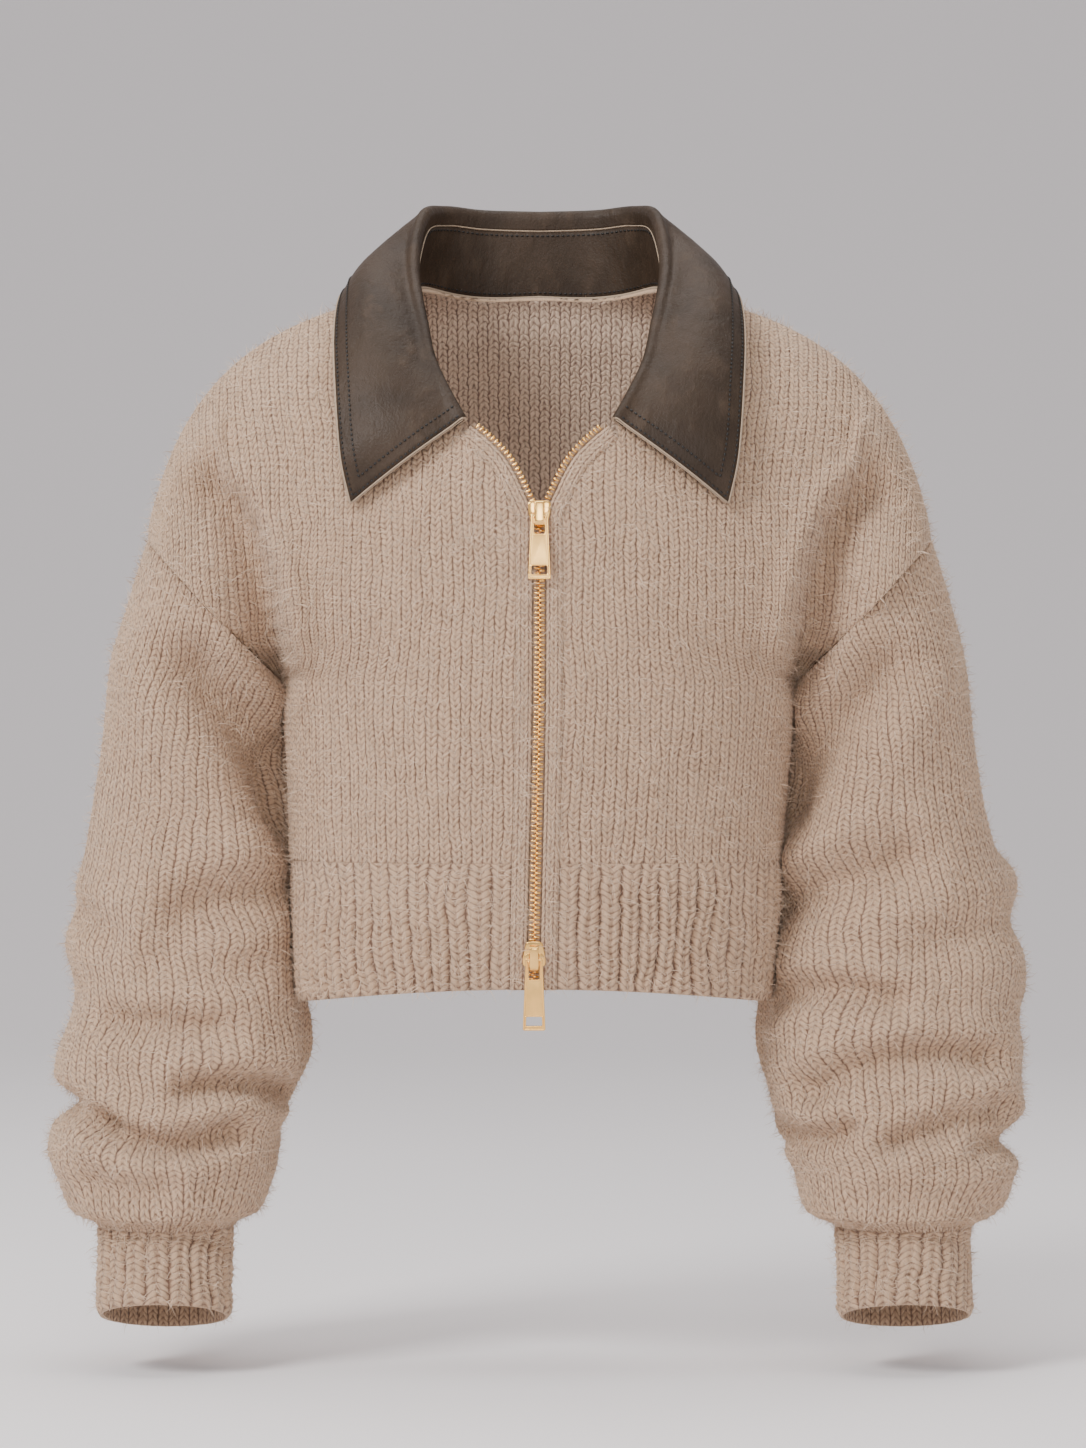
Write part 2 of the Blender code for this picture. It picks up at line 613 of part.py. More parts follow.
def zip_strip(name, side, section, along, finish, spread=0.0):
    """A strip along the zip line; its section is (offset from the line, height over the cloth's face)."""
    across, row = beside_zip(along, side)
    centre = torso_normal(np.clip(across, 0, 1), row, FRONT, side)
    rings = []
    for offset, height in section:
        shift = np.where((along < PIN_END) & (offset < 1), spread, 0)
        rings.append(offset_place(along, side, offset + shift) + height * centre)
    return prism(name, np.swapaxes(np.array(rings), 0, 1), finish)


def offset_place(along, side, offset):
    return torso(*beside_zip(along, side, offset), FRONT, side)


# ---------------------------------------------------------------- collar

SETBACK = 1.2           # the stand sits this far back from the neck's edge, so that edge shows as a thin binding
FOLD_RADIUS = 3.6
STAND_SEAM = 10.0       # the leaf's seam lies this far below the fold, on the inside
LEAF_CLEAR = 1.0        # least gap between the leaf and the knit
STAND_CLEAR = 0.5       # and between the stand and the knit that carries it
FOLD_LINE = table(
    "share x y z",     # from the centre back to the front end, for the left side
    (0, 0, 79, 69), (0.16, 42, 76, 70), (0.27, 67, 60, 71), (0.36, 80.5, 34, 66), (0.45, 86.5, 10, 44),
    (0.53, 87, -13, 22), (0.61, 83, -36, 1), (0.70, 77.5, -56, -21), (0.79, 72.5, -73, -43),
    (0.87, 65.5, -86, -60), (0.94, 58, -96, -75), (1, 51, -103, -88),
)
LEAF_EDGE = table(
    "share x y z",
    (0, 0, 101, -4), (0.16, 52, 99, -3), (0.27, 88, 84, 0), (0.36, 113, 56, 4), (0.45, 128, 26, 7),
    (0.53, 135.5, -2, 4), (0.61, 138.5, -28, -9), (0.70, 139, -56, -34), (0.79, 137, -80, -66),
    (0.87, 134.5, -93, -97), (0.94, 131.5, -100, -121), (1, 126, -99, -144.5),
)
LEAF_BULGE = table("share bulge", (0, 7), (0.36, 10), (0.5, 12), (0.7, 9), (0.87, 7), (1, 6))


def neck_edge(side):
    """Points and faces' normals along the neck's edge, from the centre back to the front end."""
    rows = NECK_BACK_ROW + (1 - NECK_BACK_ROW) * np.linspace(0, 1, 24) ** 2
    behind = np.array([back_start(row, side) for row in rows])
    place = [torso(behind, rows, BACK, side)]
    normal = [torso_normal(behind, rows, BACK, side)]
    rows_at, across_at = front_start(side)
    _, low = find_on_front(side * FRONT_NECK["x"][0], FRONT_NECK["z"][0], side)
    rows = np.linspace(0.998, low, 24)
    ahead = np.interp(rows, rows_at, across_at)
    place.append(torso(ahead, rows, FRONT, side))
    normal.append(torso_normal(ahead, rows, FRONT, side))
    place, normal = np.concatenate(place), np.concatenate(normal)
    run = np.concatenate([[0], np.linalg.norm(np.diff(place, axis=0), axis=1).cumsum()])
    share = run / run[-1]
    even = np.linspace(0, 1, 49)
    place = np.array([np.interp(even, share, place[:, c]) for c in range(3)]).T
    normal = unit(np.array([np.interp(even, share, normal[:, c]) for c in range(3)]).T)
    for _ in range(3):
        normal[1:-1] = unit(normal[:-2] + 2 * normal[1:-1] + normal[2:])
    return even, place, normal


def neck_frame(share, side):
    even, place, normal = neck_edge(side)
    tangent = unit(np.gradient(place, axis=0))
    read = lambda values: np.array([np.interp(share, even, values[:, c]) for c in range(3)]).T
    place, normal, tangent = read(place), unit(read(normal)), unit(read(tangent))
    into = unit(np.cross(normal, tangent)) * side
    return place, normal, into


def collar_rows(shares, side):
    """Middle lines of the collar on one side: base, seam, inner and outer foot of the fold, fold and edge."""
    base, normal, into = neck_frame(shares, side)
    turn = np.array((side, 1, 1))
    fold = points(*columns_at(shares, "share", FOLD_LINE, "x", "y", "z")) * turn
    edge = points(*columns_at(shares, "share", LEAF_EDGE, "x", "y", "z")) * turn
    tangent = unit(np.gradient(fold, axis=0))
    rise = fold - base - (SETBACK + LEATHER / 2) * into
    rise = unit(rise - (rise * tangent).sum(-1, keepdims=True) * tangent)
    out = unit(np.cross(tangent, rise)) * -side
    return base, normal, into, fold, edge, rise, out


def stand_and_leaf(shares, side):
    base, normal, into, fold, edge, rise, out = collar_rows(shares, side)
    half = LEATHER / 2
    ridge = np.exp(-((base[:, 1:2] / 9) ** 2))
    foot = base + (SETBACK + half) * into + (0.6 + 2.0 * ridge) * normal
    inner_foot = fold - FOLD_RADIUS * out - FOLD_RADIUS * rise
    height = np.linalg.norm(inner_foot - foot, axis=-1, keepdims=True)
    drop = np.minimum(STAND_SEAM, 0.4 * height)
    way = unit(inner_foot - foot)
    seam = inner_foot - drop * way
    outwards = unit(np.cross(np.cross(out, way), way)) * -1
    stand_outer = [foot + half * into, (foot + seam) / 2 + half * outwards, seam - SEAM / 2 * way + half * outwards]
    stand_inner = [foot - half * into, (foot + seam) / 2 - half * outwards, seam - SEAM / 2 * way - half * outwards]
    middle = [seam + SEAM / 2 * way]
    thick = [outwards]
    for angle in (0, 60, 120, 180):
        a = math.radians(angle)
        thick.append(-(-math.cos(a) * out + math.sin(a) * rise))
        middle.append(fold - FOLD_RADIUS * rise + FOLD_RADIUS * (-math.cos(a) * out + math.sin(a) * rise))
    outer_foot = middle[-1]
    bulge = columns_at(shares, "share", LEAF_BULGE, "bulge")[0][:, None]
    along = unit(np.gradient(edge + fold, axis=0))
    for step in (0.12, 0.28, 0.46, 0.64, 0.82, 1.0):
        straight = outer_foot + (edge - outer_foot) * step
        lift = unit(np.cross(along, edge - fold)) * -side
        lift = np.where((lift * (0, 0, 1)).sum(-1, keepdims=True) + (lift * out).sum(-1, keepdims=True) < 0, -lift, lift)
        middle.append(straight + 4 * bulge * step * (1 - step) * lift)
        thick.append(-lift)
    middle, thick = np.array(middle), np.array(thick)
    return np.array(stand_outer), np.array(stand_inner), middle - half * thick, middle + half * thick


def lifted(outer, inner, tree, clear):
    """Both faces moved out where either would come closer to the knit than it should."""
    for _ in range(3):
        for place in np.ndindex(outer.shape[:-1]):
            for probe in (inner, outer):
                found, normal, _, _ = tree.find_nearest(Vector(probe[place]))
                gap = (Vector(probe[place]) - found).dot(normal)
                if gap < clear:
                    move = np.array(normal) * (clear - gap)
                    outer[place] += move
                    inner[place] += move
    return outer, inner


COLLAR_STEPS = 17


def collar(knit_objects, finish):
    shares = np.linspace(0, 1, COLLAR_STEPS)
    sides = {side: stand_and_leaf(shares, side) for side in (LEFT, RIGHT)}
    grids = []
    for k in range(4):
        grids.append(np.concatenate([sides[RIGHT][k][:, :0:-1], sides[LEFT][k]], axis=1))
    stand_outer, stand_inner, leaf_outer, leaf_inner = grids
    tree = knit_tree(knit_objects)
    lifted(leaf_outer, leaf_inner, tree, LEAF_CLEAR)
    lifted(stand_outer, stand_inner, tree, STAND_CLEAR)
    wall("collar_stand", stand_outer, stand_inner, sheet_cells(*stand_outer.shape[:2]), finish)
    wall("collar_leaf", leaf_outer, leaf_inner, sheet_cells(*leaf_outer.shape[:2]), finish)


def knit_tree(knit_objects):
    vertices, faces = [], []
    for obj in knit_objects:
        faces += [[i + len(vertices) for i in face.vertices] for face in obj.data.polygons]
        vertices += [v.co / MM for v in obj.data.vertices]
    return BVHTree.FromPolygons(vertices, faces)


# ---------------------------------------------------------------- sliders and pulls

PIN_END = 28.0          # below this distance along the zip line the two bead edges part round the lower post
PIN_SPREAD = 1.4
SLIDER_STATIONS = np.array((PIN_END - 0.1, PIN_END + 3, 306.0, 318.0, 323.0, 327.0))
SLIDER = dict(wide=15.2, narrow=10.8, length=17.0, front=1.1, plate=1.4, back=-5.8)
POST = dict(width=2.3, height=2.4)
BRIDGE = dict(width=6.0, reach=7.0, above=10.0, below=7.6, eye_low=2.8, eye_high=5.7)
TAB = dict(top=11.3, bottom=15.2, over=0.9, thick=1.6, slot=7.2, slot_end=13.0)
PIVOT_HEIGHT = 4.25     # the tab's bar over the cloth's face


def rounded(outline, radius, steps=3):
    """An outline with an arc at each corner."""
    turned = []
    for k, corner in enumerate(outline):
        corner = Vector(corner)
        before, after = Vector(outline[k - 1]) - corner, Vector(outline[(k + 1) % len(outline)]) - corner
        reach = min(radius, before.length / 2.2, after.length / 2.2)
        a, b = corner + before.normalized() * reach, corner + after.normalized() * reach
        for j in range(steps + 1):
            t = j / steps
            turned.append((1 - t) ** 2 * a + 2 * t * (1 - t) * corner + t * t * b)
    return turned


def flat_solid(name, outlines, thick, matrix, finish):
    """A plate cut to an outline, with any holes as further outlines, centred on its own plane."""
    curve = bpy.data.curves.new(name, "CURVE")
    curve.dimensions, curve.fill_mode = "2D", "BOTH"
    curve.extrude = thick / 2 * MM
    for outline in outlines:
        line = curve.splines.new("POLY")
        line.points.add(len(outline) - 1)
        for point, at in zip(line.points, outline):
            point.co = (at[0] * MM, at[1] * MM, 0, 1)
        line.use_cyclic_u = True
    curve.materials.append(finish)
    obj = bpy.data.objects.new(name, curve)
    obj.matrix_world = matrix
    bpy.data.collections[COLLECTION].objects.link(obj)
    return obj


def as_mesh(obj):
    """The curve's solid as a mesh object in its place, with its caps welded on."""
    bpy.context.view_layer.update()
    mesh = bpy.data.meshes.new_from_object(obj.evaluated_get(bpy.context.evaluated_depsgraph_get()))
    shape = bmesh.new()
    shape.from_mesh(mesh)
    bmesh.ops.remove_doubles(shape, verts=shape.verts, dist=1e-6)
    bmesh.ops.recalc_face_normals(shape, faces=shape.faces)
    shape.to_mesh(mesh)
    shape.free()
    name, matrix = obj.name, obj.matrix_world.copy()
    bpy.data.objects.remove(obj)
    made = bpy.data.objects.new(name, mesh)
    made.matrix_world = matrix
    return made


def zip_place(z):
    """Frame on the zip line at a height: X across, Y up along the line, Z straight out of the cloth."""
    rows = np.linspace(HEM_ROW, 0.75, 300)
    line = torso(0.0, rows, FRONT)
    at = np.array([np.interp(z, line[:, 2], line[:, c]) for c in range(3)])
    above = np.array([np.interp(z + 5, line[:, 2], line[:, c]) for c in range(3)])
    across = Vector((1, 0, 0))
    out = across.cross(Vector(above - at)).normalized()
    up = out.cross(across)
    frame = Matrix((across, up, out)).transposed().to_4x4()
    frame.translation = Vector(at) * MM
    return frame


def slider(name, top, flipped, finish):
    """Front and back plate, the post between the opened tapes, and the bridge that holds the pull."""
    place = zip_place(top)
    wide, narrow, length = SLIDER["wide"] / 2, SLIDER["narrow"] / 2, SLIDER["length"]
    outline = [(-wide, 0), (wide, 0), (wide, -0.35 * length), (narrow, -length), (-narrow, -length), (-wide, -0.35 * length)]
    if flipped:
        outline = [(x, -length - y) for x, y in outline]
    outline = rounded(outline, 2.2)
    plate, front_face, back_face = SLIDER["plate"], SLIDER["front"], SLIDER["back"]
    parts = []
    for height in (front_face + plate / 2, back_face - plate / 2):
        moved = place @ Matrix.Translation((0, 0, height * MM))
        parts.append(as_mesh(flat_solid(name, [outline], plate, moved, finish)))
    post_y = -length + POST["height"] / 2 + 0.3 if flipped else -POST["height"] / 2 - 0.3
    low, high = back_face - plate / 2, front_face + plate / 2
    bpy.ops.mesh.primitive_cube_add(size=1)
    post = bpy.context.active_object
    post.data.transform(Matrix.Diagonal((POST["width"] * MM, POST["height"] * MM, (high - low) * MM, 1)))
    post.matrix_world = place @ Matrix.Translation((0, post_y * MM, (low + high) / 2 * MM))
    parts.append(post)
    pivot_y = pivot_drop(flipped)
    foot, top_of = front_face + 0.7, BRIDGE["reach"]
    above, below = pivot_y + BRIDGE["above"], pivot_y - BRIDGE["below"]
    above = min(above, -0.4)
    arch = rounded([(below, foot), (above, foot), (above, 0.55 * top_of), (above - 3.5, top_of), (below + 2, top_of), (below, 0.6 * top_of)], 2)
    eye = rounded([(pivot_y - 1.8, BRIDGE["eye_low"]), (above - 2.2, BRIDGE["eye_low"]), (above - 2.6, BRIDGE["eye_high"]),
                   (pivot_y - 1.8, BRIDGE["eye_high"])], 0.6)
    turned = place @ Matrix(((0, 0, 1, 0), (1, 0, 0, 0), (0, 1, 0, 0), (0, 0, 0, 1)))
    parts.append(as_mesh(flat_solid(name, [arch, eye], BRIDGE["width"], turned, finish)))
    return joined(name, parts, finish)


def pivot_drop(flipped):
    return -12.4 if flipped else -10.4


def joined(name, parts, finish):
    """One body from overlapping parts."""
    helpers = bpy.data.collections[CUTTERS]
    base = bpy.data.objects.new(name, parts[0].data)
    base.matrix_world = parts[0].matrix_world
    base.data.materials.clear()
    base.data.materials.append(finish)
    bpy.data.collections[COLLECTION].objects.link(base)
    for k, part in enumerate(parts):
        for owner in list(part.users_collection):
            owner.objects.unlink(part)
        if k == 0:
            bpy.data.objects.remove(part)
            continue
        helpers.objects.link(part)
        part.name = f"{name}_join_{k}"
        part.hide_render, part.display_type = True, "WIRE"
        join = base.modifiers.new(part.name, "BOOLEAN")
        join.operation, join.object = "UNION", part
    base.name = name
    return base


def pull(name, top, flipped, length, finish):
    """A tapered tab with a slot round the bridge and a window near its end, hinged at its top bar."""
    place = zip_place(top)
    pivot = place @ Matrix.Translation((0, pivot_drop(flipped) * MM, PIVOT_HEIGHT * MM))
    over, half_top, half_bottom = TAB["over"], TAB["top"] / 2, TAB["bottom"] / 2
    tab = rounded([(-half_top, over), (half_top, over), (half_bottom, over - length), (-half_bottom, over - length)], 1.0)
    half_slot = TAB["slot"] / 2
    slot = rounded([(-half_slot, -over), (half_slot, -over), (half_slot, -TAB["slot_end"]), (-half_slot, -TAB["slot_end"])], 1.2)
    window_top = over - length + 9.2
    window = rounded([(-5.2, window_top), (5.2, window_top), (5.4, window_top - 6), (-5.4, window_top - 6)], 0.8)
    return flat_solid(name, [tab, slot, window], TAB["thick"], pivot, finish)


COLLECTION = "cropped_zip_cardigan"
CUTTERS = "cardigan_helpers"
ZIPS = (("top", -144.1, False, 44.5), ("bottom", -437.2, True, 48.0))


def finish_of(name, colour, rough, metal=0.0):
    material = bpy.data.materials.new(name)
    material.use_nodes = True
    shader = material.node_tree.nodes["Principled BSDF"]
    shader.inputs["Base Color"].default_value = (*colour, 1)
    shader.inputs["Roughness"].default_value = rough
    shader.inputs["Metallic"].default_value = metal
    return material


def main():
    for obj in list(bpy.data.objects):
        bpy.data.objects.remove(obj)
    for group in (COLLECTION, CUTTERS):
        bpy.context.scene.collection.children.link(bpy.data.collections.new(group))
    knit = finish_of("brushed_knit", (0.40, 0.31, 0.24), 0.9)
    rib = finish_of("rib_knit", (0.38, 0.30, 0.23), 0.9)
    leather = finish_of("collar_leather", (0.075, 0.058, 0.048), 0.45)
    tape = finish_of("zip_tape", (0.45, 0.36, 0.27), 0.8)
    metal = finish_of("pale_gold_metal", (0.80, 0.62, 0.38), 0.25, 1.0)
    panels = [back(knit)]
    back_rib(rib)
    for side in (LEFT, RIGHT):
        panels.append(front(side, knit))
        front_rib(side, rib)
        sleeve_wall(side, knit)
        cuff(side, rib)
        along = np.sort(np.concatenate([stations(side), SLIDER_STATIONS[:2]]))
        panels.append(zip_strip(f"front_band_{SIDE_NAMES[side]}", side, BAND_SECTION, along, knit))
        along = np.sort(np.concatenate([along[along < 300], along[along > 330], SLIDER_STATIONS[2:]]))
        zip_strip(f"zip_tape_{SIDE_NAMES[side]}", side, TAPE_SECTION, along, tape, PIN_SPREAD)
    collar(panels, leather)
    for name, top, flipped, length in ZIPS:
        slider(f"slider_{name}", top, flipped, metal)
        pull(f"pull_{name}", top, flipped, length, metal)


main()
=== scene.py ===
"""Cropped zip-up cardigan: brushed stockinette and rib, leather collar, two-way metal zip."""

import json
import math

import bmesh
import bpy
import numpy as np
from bpy.props import FloatProperty, FloatVectorProperty, PointerProperty
from mathutils import Matrix, Vector
from mathutils.bvhtree import BVHTree

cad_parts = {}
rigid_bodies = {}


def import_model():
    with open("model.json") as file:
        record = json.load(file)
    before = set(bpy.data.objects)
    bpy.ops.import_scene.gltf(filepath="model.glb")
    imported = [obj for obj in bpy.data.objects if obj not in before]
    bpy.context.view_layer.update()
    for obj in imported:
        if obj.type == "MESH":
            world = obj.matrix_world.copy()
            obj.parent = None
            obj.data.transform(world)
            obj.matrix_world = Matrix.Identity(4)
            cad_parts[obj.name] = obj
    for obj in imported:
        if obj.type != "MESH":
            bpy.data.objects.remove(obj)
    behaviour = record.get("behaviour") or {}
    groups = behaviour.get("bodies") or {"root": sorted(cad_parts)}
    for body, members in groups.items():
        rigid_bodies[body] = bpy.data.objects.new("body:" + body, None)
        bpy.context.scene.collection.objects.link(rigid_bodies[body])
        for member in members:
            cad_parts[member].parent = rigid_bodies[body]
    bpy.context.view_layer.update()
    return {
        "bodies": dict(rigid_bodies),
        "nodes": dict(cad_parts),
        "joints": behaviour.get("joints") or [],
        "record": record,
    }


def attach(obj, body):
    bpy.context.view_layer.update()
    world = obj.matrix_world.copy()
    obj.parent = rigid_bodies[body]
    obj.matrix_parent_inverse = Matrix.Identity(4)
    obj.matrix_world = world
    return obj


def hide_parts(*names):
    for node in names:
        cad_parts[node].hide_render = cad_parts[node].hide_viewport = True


bl_info = {
    "name": "Zip-up Cardigan",
    "version": (1, 0, 0),
    "blender": (4, 5, 0),
    "location": "3D View > Sidebar > Cardigan",
    "description": "Builds a cropped knitted cardigan with a leather collar and a two-way zip on its packed frame",
    "category": "Object",
}

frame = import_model()

MM = 0.001
FRONT, BACK = -1, 1
LEFT, RIGHT = 1, -1
SIDE_NAMES = {LEFT: "left", RIGHT: "right"}
KNIT = 3.0              # thickness of the knitted wall
LEATHER = 2.4           # two layers of leather and their interlining
SEAM = 0.3              # gap between pieces at a seam
RIBS = {FRONT: 15, BACK: 16}    # ribs of the hem in each quarter
SLOPE_STEP = 0.012      # share of a panel over which its slope is read


def table(columns, *rows):
    """Named columns of numbers, with a row for each section or fold."""
    return dict(zip(columns.split(), np.array(rows, float).T))


def smooth_line(at, knots, values):
    """A smooth curve through the values at the knots."""
    at = np.clip(np.asarray(at, float), knots[0], knots[-1])
    slopes = np.gradient(values, knots)
    i = np.clip(np.searchsorted(knots, at, side="right") - 1, 0, len(knots) - 2)
    step = knots[i + 1] - knots[i]
    t = (at - knots[i]) / step
    return (
        (2 * t**3 - 3 * t**2 + 1) * values[i]
        + (t**3 - 2 * t**2 + t) * step * slopes[i]
        + (3 * t**2 - 2 * t**3) * values[i + 1]
        + (t**3 - t**2) * step * slopes[i + 1]
    )


def columns_at(at, knots, sections, *names):
    return [smooth_line(at, sections[knots], sections[name]) for name in names]


def ease(x, start, end):
    """0 before start, 1 after end, and smooth between them."""
    t = np.clip((np.asarray(x, float) - start) / (end - start), 0, 1)
    return t * t * (3 - 2 * t)


def unit(v):
    return v / np.maximum(np.linalg.norm(v, axis=-1, keepdims=True), 1e-9)


def points(x, y, z):
    return np.stack(np.broadcast_arrays(x, y, z), axis=-1).astype(float)


# ---------------------------------------------------------------- torso

UNDERARM_ROW = 0.28     # the side seam ends and the armhole starts here, on the way from rib to shoulder
HEM_ROW = -0.19         # the hem's lower edge
NECK_BACK_ROW = 0.90    # the back neck's lowest point
SHOULDER_TIP = np.array((270.0, 0.0, -166.0))
UNDERARM = np.array((178.0, 0.0, -262.0))
ARMHOLE_DEPTH = 68.0    # half of the armhole's width from front to back
ARMHOLE_CENTRE = (SHOULDER_TIP + UNDERARM) / 2
ARMHOLE_REACH = (SHOULDER_TIP - UNDERARM) / 2
ARM_WAY = unit(np.array((ARMHOLE_REACH[2], 0.0, -ARMHOLE_REACH[0])))
SHOULDER_WAY = unit(np.array((20.0, 0.0, -126.0)))
NECK_WIDTH, NECK_DEPTH, NECK_SQUARE = 84.0, 80.0, 2.6

CENTRE = {
    FRONT: table(
        "row depth height handle",
        (-0.19, 107, -470, 100), (-0.10, 110, -430, 102), (0.00, 112, -386, 104), (0.13, 117, -328, 106),
        (0.28, 119.5, -262, 108), (0.40, 119, -209, 106), (0.50, 115.5, -165, 102), (0.58, 110, -130, 98),
        (0.66, 100.5, -97, 96), (0.74, 85, -66, 102), (0.82, 64, -38, 120), (0.90, 38, -14, 145), (1.00, 0, 14, 175),
    ),
    BACK: table(
        "row depth height handle",
        (-0.19, 96, -480, 100), (-0.10, 100, -434, 102), (0.00, 103, -386, 104), (0.13, 109, -328, 106),
        (0.28, 117, -262, 108), (0.40, 123, -209, 108), (0.52, 126, -156, 106), (0.62, 123, -112, 104),
        (0.70, 116, -77, 104), (0.78, 105, -44, 108), (0.84, 93.5, -19, 114), (0.90, 80, 9, 122),
        (0.95, 48, 20, 145), (1.00, 0, 14, 175),
    ),
}
SIDE = table(
    "row width height",
    (-0.19, 164, -483), (-0.10, 167.5, -436), (0.00, 169.5, -386), (0.13, 173, -328), (0.28, 178, -262),
)
LEAN = 4.0              # the hem hangs this far towards the wearer's right
ARMPIT = table(
    "height across depth width",
    (-310, 178, 0, 12), (-262, 180, 11, 14), (-200, 188, 12, 15), (-140, 201, 7, 18), (-80, 210, 0, 22),
)


def armhole(angle):
    """A point of the armhole, from 0 at the shoulder tip by the front (or back) to pi at the underarm."""
    around = np.asarray(angle, float)[..., None]
    return ARMHOLE_CENTRE + np.cos(around) * ARMHOLE_REACH + np.sin(around) * np.array((0, ARMHOLE_DEPTH, 0))


def armhole_share(row):
    return np.clip((np.asarray(row, float) - UNDERARM_ROW) / (1 - UNDERARM_ROW), 0, 1)


def armpit(place):
    """The hollow between chest and arm, which deepens towards the underarm."""
    across, depth, width = columns_at(place[..., 2], "height", ARMPIT, "across", "depth", "width")
    y = place[..., 1]
    sunk = depth * np.exp(-(((np.abs(place[..., 0]) - across) / width) ** 2)) * np.abs(y) / (np.abs(y) + 22)
    moved = place.copy()
    moved[..., 1] -= np.sign(y) * sunk
    return moved


def lean(place):
    moved = place.copy()
    moved[..., 0] -= LEAN * ease(-place[..., 2], 230, 520) * 1.1
    return moved


def torso(across, row, face, side=LEFT):
    """Outer face of the torso. across is 0 at the centre line and 1 at the side seam or armhole.

    Each row is one curve, from the centre line to the side seam below the underarm, and to the
    armhole above it, read at an even pace along its length.
    """
    across, row = np.broadcast_arrays(np.asarray(across, float), np.asarray(row, float))
    depth, height, handle = columns_at(row, "row", CENTRE[face], "depth", "height", "handle")
    width, low = columns_at(row, "row", SIDE, "width", "height")
    share = armhole_share(row)
    above = (row > UNDERARM_ROW)[..., None]
    end = np.where(above, armhole(np.pi * (1 - share)) * (1, face, 1), points(width, 0, low))
    round_side = np.clip(1 - share / 0.65, 0, 1)[..., None] ** 1.5
    over_arm = ease(share, 0.45, 1)[..., None]
    way = (1 - over_arm) * ARM_WAY + over_arm * SHOULDER_WAY
    way = unit(round_side * np.array((0, -face, 0)) + (1 - round_side) * way)
    pull = np.interp(share, (0, 0.12, 0.5, 1), (63, 58, 88, 127.6))[..., None]
    start = points(0, face * depth, height)
    first = start + points(handle, 0, -6 * share**4)
    second = end - pull * way
    steps = np.linspace(0, 1, 25)
    line = bezier(start[..., None, :], first[..., None, :], second[..., None, :], end[..., None, :], steps)
    run = np.concatenate(
        [np.zeros(line.shape[:-2] + (1,)), np.linalg.norm(np.diff(line, axis=-2), axis=-1).cumsum(-1)], axis=-1
    )
    wanted = across * run[..., -1]
    i = np.clip((run <= wanted[..., None]).sum(-1) - 1, 0, len(steps) - 2)
    before = np.take_along_axis(run, i[..., None], -1)[..., 0]
    after = np.take_along_axis(run, i[..., None] + 1, -1)[..., 0]
    t = (i + (wanted - before) / np.maximum(after - before, 1e-9)) / (len(steps) - 1)
    return lean(armpit(bezier(start, first, second, end, t)) * (side, 1, 1))


def bezier(a, b, c, d, t):
    t = np.asarray(t, float)[..., None]
    return (1 - t) ** 3 * a + 3 * t * (1 - t) ** 2 * b + 3 * t * t * (1 - t) * c + t**3 * d


def torso_normal(across, row, face, side=LEFT):
    step = SLOPE_STEP
    low, high = np.clip(across - step, 0, 1), np.clip(across + step, 0, 1)
    along = torso(high, row, face, side) - torso(low, row, face, side)
    down = np.clip(row - step, HEM_ROW, 1)
    up = np.clip(row + step, HEM_ROW, 1)
    rise = torso(across, up, face, side) - torso(across, down, face, side)
    normal = unit(np.cross(along, rise)) * (-face * side)
    return unit(normal * np.where((across <= 0)[..., None], (0, 1, 1), 1))


def find_on_front(x, z, side):
    """(across, row) of the point of the front's outer face that shows at x, z from straight ahead."""
    x, z = np.asarray(x, float), np.asarray(z, float)
    across = np.clip(np.abs(x) / 230, 0.01, 0.99)
    row = np.interp(z, CENTRE[FRONT]["height"], CENTRE[FRONT]["row"])
    step = 1e-3
    for _ in range(12):
        here = torso(across, row, FRONT, side)
        d_across = (torso(across + step, row, FRONT, side) - here) / step
        d_row = (torso(across, row + step, FRONT, side) - here) / step
        error_x, error_z = x - here[..., 0], z - here[..., 2]
        det = d_across[..., 0] * d_row[..., 2] - d_row[..., 0] * d_across[..., 2]
        across = np.clip(across + (error_x * d_row[..., 2] - error_z * d_row[..., 0]) / det, -0.05, 0.98)
        row = np.clip(row + (error_z * d_across[..., 0] - error_x * d_across[..., 2]) / det, HEM_ROW, 0.97)
    return across, row


# ---------------------------------------------------------------- zip line, bands and neckline

ZIP_LINE = table(
    "along x z",       # the teeth of one side, from the hem to their top end, for the left side
    (0, 0, -470.5), (150, 0, -320.5), (300, 0, -170.5), (318, 0, -152.5),
    (323, 1.2, -147.5), (327, 3.0, -143.5), (335.5, 6.7, -135.5), (348.5, 12.4, -123.5),
    (361, 19.0, -112.5), (374, 28.0, -102.5), (387.5, 38.0, -93.5), (394, 43.0, -89.3),
)
BAND = (4.6, 15.6)      # inner and outer edge of the knitted band beside the teeth
PANEL_EDGE = BAND[1] + SEAM
FRONT_NECK = table(
    "x z",
    (52.5, -92), (63, -77), (73, -59), (80, -37), (83.3, -14),
)


def zip_at(along, side, offset=0.0):
    """(x, z) beside the zip line, offset away from the opening, before the hem's lean."""
    along = np.asarray(along, float)
    x, z = columns_at(along, "along", ZIP_LINE, "x", "z")
    x = np.maximum(x, 0)
    x2, z2 = columns_at(along + 0.5, "along", ZIP_LINE, "x", "z")
    x1, z1 = columns_at(along - 0.5, "along", ZIP_LINE, "x", "z")
    run = np.hypot(x2 - x1, z2 - z1)
    away_x, away_z = (z2 - z1) / run, -(x2 - x1) / run
    return side * (x + offset * away_x), z + offset * away_z


def beside_zip(along, side, offset=0.0):
    """(across, row) on the front's face at that offset from the zip line."""
    x, z = zip_at(along, side, offset)
    leaning = lean(points(0, 0, z))[..., 0]
    return find_on_front(x + leaning, z, side)


